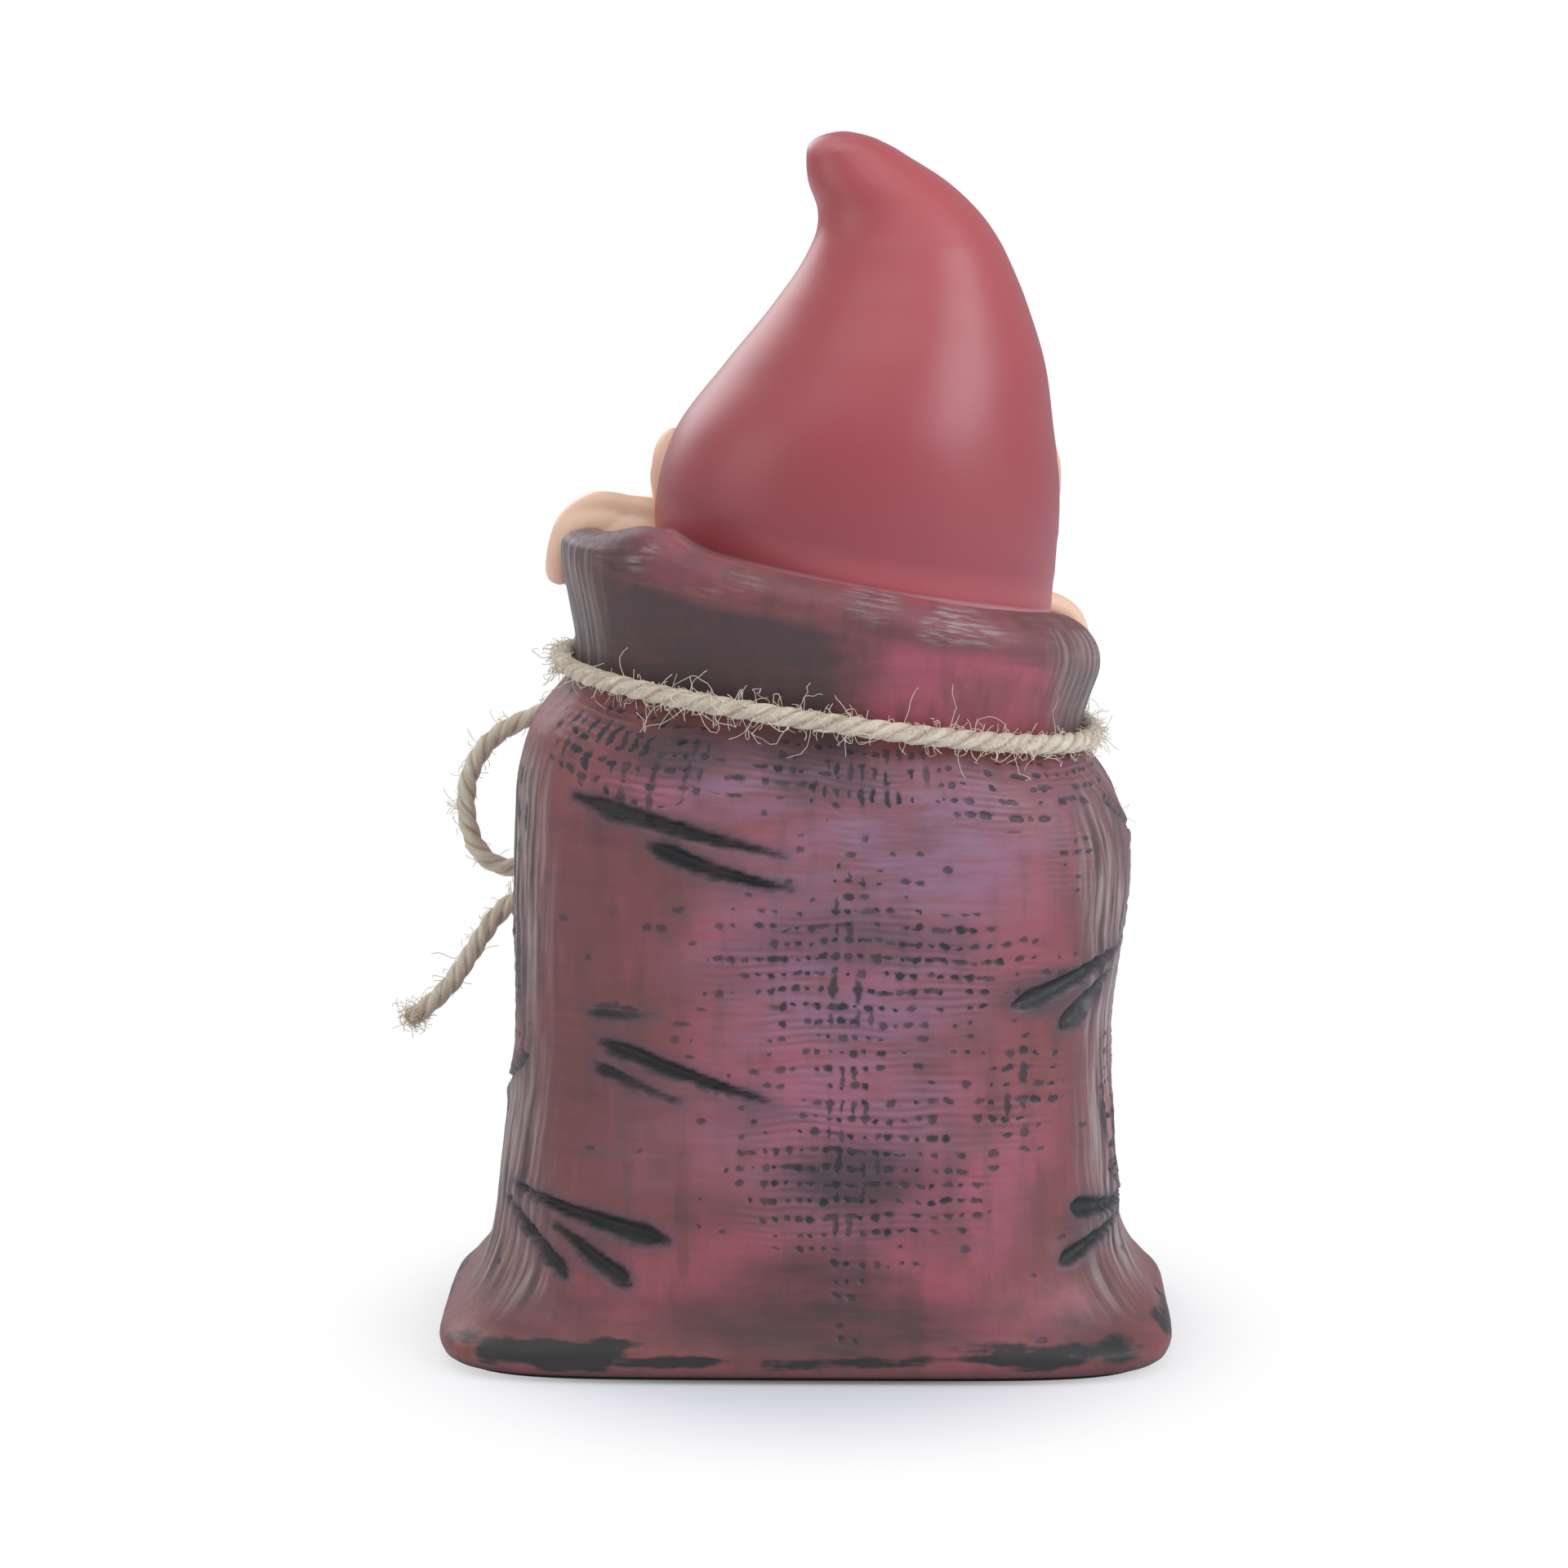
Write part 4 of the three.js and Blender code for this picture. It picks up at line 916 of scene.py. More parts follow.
# Round a cut end fibres stand thicker, this far in metres and by this much
CUT_END_REACH = 0.0042
CUT_END_DENSITY = 9.0


def bow_route(rows):
    """A route of the bow in millimetres of the frame."""
    return [(KNOT_X + across, out - NECK_HALF[1], KNOT_Z + up) for across, out, up in rows]


def neck_route():
    """The ring of twine round the neck, from one side of the knot to the other."""
    reach = 2.5
    half = (NECK_HALF[0] + reach, NECK_HALF[1] + reach)
    start = math.atan2(-half[1], KNOT_X + KNOT_SIDE - NECK_SHIFT)
    end = math.atan2(-half[1], KNOT_X - KNOT_SIDE - NECK_SHIFT) + math.tau
    x, y = superellipse(half, NECK_SQUARENESS, np.linspace(start, end, 41))
    x = x + NECK_SHIFT
    return np.stack([x, y, NECK_HEIGHT + NECK_SLOPE * x], 1)


def twine_form(route, closed=False, phase=0.0, swell=1.0, step=0.5):
    """Three plies laid round each other along a route: points, faces, UVs and ring centres."""
    radius = sizes().twine / MM / 2 * swell
    turn = sizes().twine_turn / MM
    centers, run = along(route, step, closed)
    if closed:
        centers = centers[:-1]
        turn = run / max(1, round(run / turn))
    _, side, up = frames_along(centers, closed)
    places = np.linspace(0, run, len(centers), endpoint=not closed)
    around = columns_round(TWINE_COLUMNS)
    lay = phase - math.tau * places / turn
    in_ply = np.mod(around[None, :] - lay[:, None], math.tau / 3) - math.pi / 3
    sink = np.maximum(PLY_HALF**2 - (PLY_SPOT * np.sin(in_ply)) ** 2, 0)
    reach = np.maximum(PLY_SPOT * np.cos(in_ply) + np.sqrt(sink), PLY_LOW)
    wobble = np.array([
        [noise.noise(Vector((s * 0.35 + phase * 9, math.cos(a) * 1.2, math.sin(a) * 1.2))) for a in around]
        for s in places
    ])
    reach = radius * np.clip(reach * (1 + TWINE_WOBBLE * wobble), 0, TWINE_MOST)
    if not closed:
        reach *= rounding(from_ends(len(centers), step) / radius * 1.6, 0.3)[:, None]
    verts = centers[:, None] + reach[..., None] * (
        np.cos(around)[None, :, None] * side[:, None] + np.sin(around)[None, :, None] * up[:, None]
    )
    verts = verts.reshape(-1, 3)
    faces = stack_faces(len(centers), TWINE_COLUMNS, closed)
    fixed = outward(verts, faces)
    flipped = fixed is not faces
    uv = []
    for i in range(len(centers) if closed else len(centers) - 1):
        for j in range(TWINE_COLUMNS):
            s0, s1 = places[i], places[i] + run / len(places)
            a0, a1 = around[j] * radius, (around[j] + math.tau / TWINE_COLUMNS) * radius
            twist0, twist1 = lay[i] * radius, (lay[i] - math.tau * (s1 - s0) / turn) * radius
            quad = [(s0, a0 - twist0), (s0, a1 - twist0), (s1, a1 - twist1), (s1, a0 - twist1)]
            uv += quad[::-1] if flipped else quad
    if not closed:
        uv += [(0, a * radius) for a in around] + [(run, a * radius) for a in around]
    depth = (1 - (reach / radius - PLY_LOW) / (1 - PLY_LOW)).ravel()
    return verts, fixed, uv, depth, centers


def twine_piece(name, forms):
    """One object from one or several lengths of twine."""
    verts, faces = together([(f[0], f[1]) for f in forms])
    uv = [pair for f in forms for pair in f[2]]
    return piece(name, verts, faces, uv, {"crease": np.concatenate([f[3] for f in forms])})


def twine_material():
    """Jute: coarse tow fibres, pale and silky on the plies, with brown patches, and painted brown shade
    between them.
    """
    material, wires, shader = finish_material("jute_twine_three_ply", {
        "Roughness": 0.85, "Sheen Weight": 0.25})
    tint = colours()
    place = add(wires.tree, "ShaderNodeUVMap", uv_map="cloth")
    # Fibre bundles of about 0.25 mm that run a few millimetres, drawn coarse enough to show
    fibres = wires.grain((420, 3600, 1), 4.0, 0.65, place)
    patches = wires.grain((90, 500, 1), place=place)
    straw = wires.mixed(wires.fac(fibres, 0.36, 0.62), tint.twine, tint.twine_light)
    brown = wires.mixed(wires.times(wires.fac(patches, 0.6, 0.34), 0.36), straw, tint.twine_dark_and_shade)
    # Painted shade in the hollows between the plies
    sunk = wires.fac(wires.read("crease"), 0.45, 1.0, 0.0, 0.75)
    coat(wires, shader, wires.mixed(sunk, brown, tint.twine_dark_and_shade), fibres, 0.0003, 0.9)
    return material


def fibre_material():
    """Loose jute fibres: fine, pale and a little shiny."""
    material, wires, shader = finish_material("loose_jute_fibre", {"Roughness": 0.6})
    tone = wires.fac(wires.grain((300, 300, 300)), 0.35, 0.6)
    coat(wires, shader, wires.mixed(tone, colours().twine, colours().twine_light))
    return material


def fuzz_tree():
    """Geometry nodes that stand curling fibres on a piece where its attribute fuzzy says so."""
    wires, given = geometry_tree("loose_fibres", {
        "Density": "Float", "Reach": "Float", "Thickness": "Float", "Seed": "Int"})
    tree, seed = wires.tree, given["Seed"]
    roots = add(tree, "GeometryNodeDistributePointsOnFaces", {
        "Mesh": given["Geometry"], "Seed": seed,
        "Density": wires.times(wires.read("fuzzy"), given["Density"])})
    # Shares of a fibre's own phase, shape, turn and tilt
    own, shape, turn, tilt = (
        add(tree, "FunctionNodeRandomValue", {
            "Min": 0.0, "Max": 1.0, "Seed": wires.plus(seed, float(i + 1))}, data_type="FLOAT").outputs[1]
        for i in range(4)
    )
    marked = add(tree, "GeometryNodeStoreNamedAttribute", {
        "Geometry": roots.outputs["Points"], "Name": "fibre", "Value": own}, data_type="FLOAT")
    # Arcs to choose from, between nearly straight and nearly a ring
    shapes = add(tree, "GeometryNodeJoinGeometry")
    for sweep in FIBRE_SWEEPS:
        radius = 1.0 / sweep ** 0.8
        arc = add(tree, "GeometryNodeCurveArc", {
            "Resolution": 9, "Radius": radius, "Start Angle": math.pi, "Sweep Angle": -sweep})
        stood = add(tree, "GeometryNodeTransform", {
            "Geometry": arc.outputs[0], "Translation": (radius, 0, 0)})
        turned = add(tree, "GeometryNodeTransform", {
            "Geometry": stood, "Rotation": (math.pi / 2, 0, 0)})
        one = add(tree, "GeometryNodeGeometryToInstance", {"Geometry": turned})
        tree.links.new(one.outputs[0], shapes.inputs[0])
    stand = add(tree, "FunctionNodeAlignRotationToVector", {"Vector": roots.outputs["Normal"]}, axis="Z")
    spin = add(tree, "ShaderNodeCombineXYZ", {
        "X": wires.fac(tilt, 0.0, 1.0, -FIBRE_LEAN, FIBRE_LEAN), "Z": wires.times(turn, FIBRE_TURN)})
    turned = add(tree, "FunctionNodeRotateRotation", {
        "Rotation": stand, "Rotate By": spin}, rotation_space="LOCAL")
    size = wires.fac(wires.math("POWER", own, 1.7), 0.0, 1.0, FIBRE_SHORTEST, 1.0)
    size = wires.times(size, given["Reach"])
    placed = add(tree, "GeometryNodeInstanceOnPoints", {
        "Points": marked, "Instance": shapes, "Pick Instance": True,
        "Instance Index": wires.times(shape, len(FIBRE_SWEEPS) - 0.01), "Rotation": turned, "Scale": size})
    loose = add(tree, "GeometryNodeRealizeInstances", {"Geometry": placed})
    curl = add(tree, "ShaderNodeTexNoise", {
        "Vector": add(tree, "GeometryNodeInputPosition"), "Scale": FIBRE_CURL, "Detail": 1.0,
        "W": wires.times(wires.read("fibre"), FIBRE_STEP)}, noise_dimensions="4D")
    centred = add(tree, "ShaderNodeVectorMath", {
        0: curl.outputs["Color"], 1: (0.5, 0.5, 0.5)}, operation="SUBTRACT")
    done = add(tree, "GeometryNodeSplineParameter").outputs["Factor"]
    sway = add(tree, "ShaderNodeVectorMath", {
        0: centred, "Scale": wires.times(done, FIBRE_SWAY)}, operation="SCALE")
    bent = add(tree, "GeometryNodeSetPosition", {"Geometry": loose, "Offset": sway})
    thin = add(tree, "GeometryNodeSetCurveRadius", {
        "Curve": bent, "Radius": wires.fac(done, 0.0, 1.0, 1.0, FIBRE_TIP)})
    section = add(tree, "GeometryNodeCurvePrimitiveCircle", {
        "Resolution": 3, "Radius": wires.times(given["Thickness"], 0.5)})
    tubes = add(tree, "GeometryNodeCurveToMesh", {
        "Curve": thin, "Profile Curve": section.outputs[0], "Fill Caps": True})
    return end_tree(tree, tubes, given["Material"])


def grow_fuzz(name, source, density, reach, seed, tree, material):
    """The loose fibres of one piece of twine as a plain mesh, their reach a share of the longest."""
    host = source.copy()
    host.data = source.data.copy()
    host.name = name
    fuzz = through(link(host), tree, {
        "Density": density, "Reach": sizes().fuzz_reach * reach, "Thickness": sizes().fuzz_thickness,
        "Seed": sizes().fuzz_seed + seed, "Material": material})
    return settle(fuzz, material, "twine")


def mark_fuzzy(made, ends=(), lying=0.0, reach_x=80):
    """Marks where fibres may stand: away from the sack, thick at cut ends, above and below if they lie."""
    mesh = made.data
    co, normals = mesh_points(mesh), mesh_normals(mesh)
    away = co - np.array([NECK_SHIFT * MM, 0, 0])
    away[:, 1] *= 1.6
    away[:, 2] = 0
    away /= norms(away)[:, None]
    facing = np.einsum("ij,ij->i", away, normals)
    fuzzy = unit((facing + 0.15) * 3) * (1 - lying + lying * np.abs(normals[:, 2]) ** 1.5)
    fuzzy *= np.clip(1 - (np.abs(co[:, 0] / MM - NECK_SHIFT) - reach_x) / 8, 0.15, 1)
    for end in ends:
        near = norms(co - np.asarray(end) * MM)
        fuzzy = np.maximum(fuzzy, np.where(near < CUT_END_REACH, CUT_END_DENSITY, 0))
    store(mesh, "fuzzy", fuzzy)


class NISSE_OT_twine(bpy.types.Operator):
    """Twine round the neck, the bow's two loops, its two ends and its knot."""

    bl_idname = "nisse.twine"
    bl_label = "Twine"

    def execute(self, context):
        jute, fibre, tree = twine_material(), fibre_material(), fuzz_tree()
        ring = twine_piece("neck_twine_laid", [twine_form(neck_route())])
        settle(ring, jute, "twine", "neck_twine")
        knot = twine_piece("bow_knot_tied", self.knot_forms())
        settle(knot, jute, "twine", "bow_knot")
        cords = [
            ("bow_loop_left", LEFT_LOOP, "object", 0.4), ("bow_loop_right", RIGHT_LOOP, "object", 1.1),
            ("twine_tail_left", LEFT_TAIL, "bare", 2.0), ("twine_tail_right", RIGHT_TAIL, "bare", 2.9),
        ]
        for node, rows, far_end, phase in cords:
            name = f"{node}_laid"
            form = twine_form(bow_route(rows), phase=phase)
            cord = twine_piece(name, [form])
            settle(cord, jute, "twine", node)
            path = form[4] * MM
            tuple(path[0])
            mark_fuzzy(cord, [form[4][-1]] if far_end == "bare" else ())
            grow_fuzz(f"{node}_fuzz", cord, 50000, 0.45, len(name), tree, fibre)
            grow_fuzz(f"{node}_down", cord, 330000, 0.2, 40, tree, fibre)
        mark_fuzzy(ring)
        grow_fuzz("neck_down", ring, 620000, 0.26, 50, tree, fibre)
        mark_fuzzy(ring, lying=0.9, reach_x=40)
        grow_fuzz("neck_fuzz", ring, 260000, 1, 0, tree, fibre)
        mark_fuzzy(knot)
        grow_fuzz("knot_fuzz", knot, 80000, 0.5, 3, tree, fibre)
        return {"FINISHED"}

    @staticmethod
    def knot_forms():
        """Strands of the knot: two that cross it, a band round them and the stubs of the ends."""
        y = -NECK_HALF[1]
        forms = []
        for up, sag in ((3.0, 0.0), (-3.1, 0.4)):
            row = [(-KNOT_SIDE - 0.4, -8, up), (-3.2, -7.6, up * 0.92), (0, -7.2 + sag, up * 0.8),
                   (3.2, -7.6, up * 0.92), (KNOT_SIDE + 0.4, -8, up)]
            forms.append(twine_form(bow_route(row), phase=up))
        for shift, lean, phase in ((-1.7, 0.5, 0.2), (1.9, -0.4, 1.6)):
            ring = []
            for i in range(12):
                a = math.tau * i / 12
                ring.append((KNOT_X + shift + lean * math.sin(a), y - 6.6 + 3.9 * math.cos(a),
                             KNOT_Z + 5.0 * math.sin(a)))
            forms.append(twine_form(ring, closed=True, phase=phase, swell=0.95))
        for across in (-2.4, 2.9):
            stub = [(across * 0.8, -6.9, -2.5), (across, -6.6, -4.5), (across, -6.4, TAIL_TOP - 0.4)]
            forms.append(twine_form(bow_route(stub), phase=across))
        return forms


# ---- sack ----


def face_place(points, face):
    """Across and up on one face of the sack, and how far a point is on that side."""
    if face in ("back", "front"):
        return points[:, 0], points[:, 2], points[:, 1] * (1 if face == "back" else -1)
    return points[:, 1], points[:, 2], points[:, 0] * (1 if face == "left" else -1)


def patch_field(points, patches, edge):
    """Largest strength of the patches at each point, fading over their edges."""
    value = np.zeros(len(points))
    for face, rows in patches.items():
        a, z, side = face_place(points, face)
        for across, up, reach_across, reach_up, strength in rows:
            far = np.hypot((a - across) / reach_across, (z - up) / reach_up)
            inside = unit((1 + edge / 2 - far) / edge) * strength
            value = np.maximum(value, np.where(side > 4, inside, 0))
    return value


FAR = 99.0


def groove_fields(points):
    """Signed distance in mm to the edge of the nearest pressed fold, and the fold's relief in mm."""
    nearest = np.full(len(points), 6.0)
    relief = np.zeros(len(points))
    for face, (route, width, depth) in ((face, row) for face, rows in GROOVES.items() for row in rows):
        a, z, side = face_place(points, face)
        route, _ = along([(x, y, 0) for x, y in route], 0.5)
        best = np.full(len(points), FAR)
        half_here = np.full(len(points), 0.1)
        for i, stop in enumerate(route):
            share = i / (len(route) - 1)
            half = width / 2 * min(1.0, 0.35 + share * 5) * (1 - share) ** 0.55 + 0.12
            signed = np.hypot(a - stop[0], z - stop[1]) - half
            closer = signed < best
            best = np.where(closer, signed, best)
            half_here = np.where(closer, half, half_here)
        best = np.where(side > 4, best, FAR)
        on_side = face in ("left", "right")
        depth_here = depth * np.clip((np.abs(a) - 1) / 6, 0.2, 1) if on_side else depth
        cut = unit(-best / half_here)
        lip = 0.5 * np.exp(-((np.maximum(best, 0) / 2.5) ** 2)) * unit(half_here)
        sunk = (depth_here + 0.5) * cut * (2 - cut) * np.clip(half_here / 1.2, 0.3, 1)
        relief += np.where(best < 9, lip - sunk, 0)
        # Less paint lies in a side's folds near its middle
        nearest = np.minimum(nearest, best + (np.clip(2.6 - np.abs(a) / 3, 0.5, 2.6) if on_side else 0.0))
    return nearest, relief


def grid_normals(grid):
    """Outward normals of a ring grid that is closed round its columns."""
    up = np.gradient(grid, axis=0)
    around = np.roll(grid, -1, 1) - np.roll(grid, 1, 1)
    normals = np.cross(around, up)
    return normals / np.maximum(np.linalg.norm(normals, axis=2), 1e-9)[..., None]


def hole_nodes(wires, across, up, presence, wide=0.34, high=0.2):
    """Holes of a weave, one to a cell at most: how far in a hole a point is, and the halo round it."""
    cell_x, cell_y = wires.math("FLOOR", across), wires.math("FLOOR", up)
    cell = add(wires.tree, "ShaderNodeCombineXYZ", {"X": cell_x, "Y": cell_y})
    draw = add(wires.tree, "ShaderNodeTexWhiteNoise", {"Vector": cell}, noise_dimensions="2D")
    parts = add(wires.tree, "ShaderNodeSeparateXYZ", {0: draw.outputs["Color"]}).outputs
    there = wires.math("LESS_THAN", draw.outputs["Value"], presence)
    size = wires.fac(parts[2], 0.0, 1.0, 0.4, 1.06)
    squares = []
    for value, start, draw_off, reach in (
        (across, cell_x, (parts[0], 0.0, 1.0, -0.66, -0.34), wide),
        (up, cell_y, (parts[1], 0.0, 1.0, -0.58, -0.42), high),
    ):
        centred = wires.plus(wires.math("SUBTRACT", value, start), wires.fac(*draw_off))
        local = wires.math("DIVIDE", wires.math("DIVIDE", centred, reach), size)
        squares.append(wires.math("POWER", wires.math("ABSOLUTE", local), 2.2))
    far = wires.plus(*squares)
    # Some holes are nearly closed by the paint
    shown = wires.times(there, wires.fac(parts[0], 0.0, 0.6, 0.55, 1.0))
    return [wires.times(wires.fac(far, *ends, kind="SMOOTHSTEP"), shown) for ends in ((1.8, 0.3), (4.2, 0.6))]


def weave_relief_tree():
    """Geometry nodes that press the weave's holes into the sack and raise its lying threads."""
    wires, given = geometry_tree("moulded_weave", {"Across": "Float", "Up": "Float", "Depth": "Float"})
    woven = wires.read("open_weave")
    across = wires.math("DIVIDE", wires.read("cloth_across"), given["Across"])
    up = wires.math("DIVIDE", wires.read("cloth_up"), given["Up"])
    holes, _ = hole_nodes(wires, across, up, woven, 0.42, 0.28)
    threads = wires.times(wires.math("COSINE", wires.times(up, THREAD_TURN)), woven)
    height = wires.times(wires.math("SUBTRACT", wires.times(threads, 0.22), holes), given["Depth"])
    offset = add(wires.tree, "ShaderNodeVectorMath", {
        0: add(wires.tree, "GeometryNodeInputNormal"), "Scale": height}, operation="SCALE")
    pressed = add(wires.tree, "GeometryNodeSetPosition", {
        "Geometry": given["Geometry"], "Offset": offset})
    return end_tree(wires.tree, pressed, given["Material"])


# Radians to a moulded thread, and to one of the two lines painted on it
THREAD_TURN, LINE_TURN = 6.2832, 12.566
SACK_FIELDS = (
    "groove", "open_weave", "level_dash", "upright_dash", "bloom",
    "rosy", "wash", "scuff", "streak", "base_edge",
)


def sack_material():
    """Cast sack: dull red acrylic, dark wash in every hollow with painted shade under the twine and the roll,
    lilac dry-brushed over it with a painted sheen, satin varnish.
    """
    material, wires, shader = finish_material("washed_acrylic_on_cast_sack", {})
    fac, mixed, times, plus, most, grain, stray = (
        wires.fac, wires.mixed, wires.times, wires.plus, wires.most, wires.grain, wires.stray)
    tree, tint, size = wires.tree, colours(), sizes()
    read = {key: wires.read(key) for key in SACK_FIELDS}
    cloth = add(tree, "ShaderNodeUVMap", uv_map="cloth")
    place = add(tree, "ShaderNodeSeparateXYZ", {0: cloth})

    # Clouds of glaze about 25 mm wide, upright strokes about 5 mm and level ones about 2.5 mm wide
    clouds = grain((38, 38, 30), 4.0, 0.6)
    strokes = grain((210, 210, 26), 3.0, 0.6)
    brushed = grain((60, 60, 420), 3.0, 0.6)
    fine = grain((900, 900, 700), 2.0)
    rosy = times(read["rosy"], fac(clouds, 0.3, 0.55))
    paint = mixed(rosy, tint.sack, tint.sack_bright)
    paint = mixed(fac(clouds, 0.5, 0.32, 0.0, 0.6), paint, tint.sack_shade)
    paint = mixed(fac(strokes, 0.48, 0.34, 0.0, 0.45), paint, tint.sack_shade)
    paint = mixed(fac(strokes, 0.56, 0.72, 0.0, 0.3), paint, tint.sack_bright)
    # Lilac, brushed level so that it catches on the lying threads, and a painted sheen of the key light on
    # the middle
    bloom = times(read["bloom"], fac(brushed, 0.22, 0.62))
    paint = mixed(times(bloom, 0.66), paint, tint.bloom)
    # Lying threads show as broken pairs of fine lines
    sway = grain((55, 55, 55), 1.0)
    up = plus(wires.math("DIVIDE", place.outputs[1], size.weave_up), fac(sway, 0.0, 1.0, -0.8, 0.8))
    across = wires.math("DIVIDE", place.outputs[0], size.weave_across)
    across = plus(across, fac(grain((90, 90, 40), 1.0), 0.0, 1.0, -0.5, 0.5))
    threads = wires.math("SINE", times(up, LINE_TURN))
    across = plus(across, stray(grain((620, 620, 620), 2.0), 0.13))
    up = plus(up, stray(grain((560, 560, 700), 2.0), 0.09))
    broken = fac(grain((80, 80, 160), 2.0), 0.4, 0.62)
    woven = times(fac(read["open_weave"], 0.1, 0.6), broken)
    paint = mixed(times(times(fac(threads, 0.1, 1.0), woven), 0.4), paint, tint.sack_shade)
    paint = mixed(times(times(fac(threads, -0.3, -1.0), woven), 0.24), paint, tint.bloom)
    # Wash and painted shade, with a broken, feathered edge
    torn = plus(read["wash"], plus(stray(clouds, 0.28), stray(brushed, 0.14)))
    paint = mixed(fac(torn, 0.15, 1.0, 0.0, 0.85), paint, tint.wash)
    # Dry scuffs of lilac grey along the rolled rim, which also paint a highlight on the roll's top, and down
    # the ridges on both sides
    scuffs = grain((110, 1100, 1), 4.0, 0.65, cloth)
    worn = times(fac(scuffs, 0.47, 0.58), fac(grain((70, 70, 120), 2.0), 0.42, 0.56))
    paint = mixed(times(read["scuff"], worn), paint, tint.streak)
    lines = grain((520, 34, 1), 3.0, 0.6, cloth)
    # Grey lilac on the side ridges, also a painted reflection along the side edges
    ridged = times(read["streak"], fac(grain((40, 40, 26), 2.0), 0.32, 0.52, 0.4, 1.0))
    paint = mixed(times(ridged, 0.34), paint, tint.streak)
    paint = mixed(times(ridged, fac(lines, 0.5, 0.38)), paint, tint.wash)
    paint = mixed(times(ridged, fac(lines, 0.51, 0.61)), paint, tint.streak)
    # Black-green strokes along the foot
    ragged_foot = plus(stray(grain((110, 110, 60), 3.0), 0.42), stray(brushed, 0.42))
    edge = times(plus(read["base_edge"], ragged_foot), fac(read["base_edge"], 0.0, 0.12))
    paint = mixed(fac(edge, 0.42, 0.8, 0.0, 0.94), paint, tint.groove)
    # Holes and short dashes of the weave, each with its halo of wash
    layers = [
        hole_nodes(wires, across, up, read["open_weave"]),
        hole_nodes(wires, times(across, 0.58), up, read["level_dash"], 0.38, 0.17),
        hole_nodes(wires, across, times(up, 0.55), read["upright_dash"], 0.24, 0.36),
    ]
    holes, halos = layers[0]
    for more_holes, more_halos in layers[1:]:
        holes, halos = most(holes, more_holes), most(halos, more_halos)
    grooves = plus(read["groove"], stray(grain((170, 170, 420), 4.0, 0.65), 0.65))
    halos = most(halos, fac(grooves, 2.4, 0.0))
    paint = mixed(times(halos, 0.5), paint, tint.halo)
    pressed = fac(grooves, 0.45, -0.65)
    black = most(times(holes, 0.92), times(pressed, fac(grain((120, 120, 260), 3.0), 0.3, 0.6, 0.78, 0.97)))
    paint = mixed(black, paint, tint.groove)
    tree.links.new(fac(fine, 0.2, 0.8, 0.42, 0.6).outputs[0], shader.inputs["Roughness"])
    # Relief: threads, holes, brush marks and the fine tooth of the cast
    height = plus(times(holes, -1.0), times(times(threads, woven), -0.25))
    height = plus(height, plus(times(strokes, 0.35), times(fine, 0.12)))
    height = plus(height, plus(times(times(lines, ridged), 0.8), times(times(scuffs, read["scuff"]), 0.6)))
    coat(wires, shader, paint, height, 0.00035, 0.7)
    return material


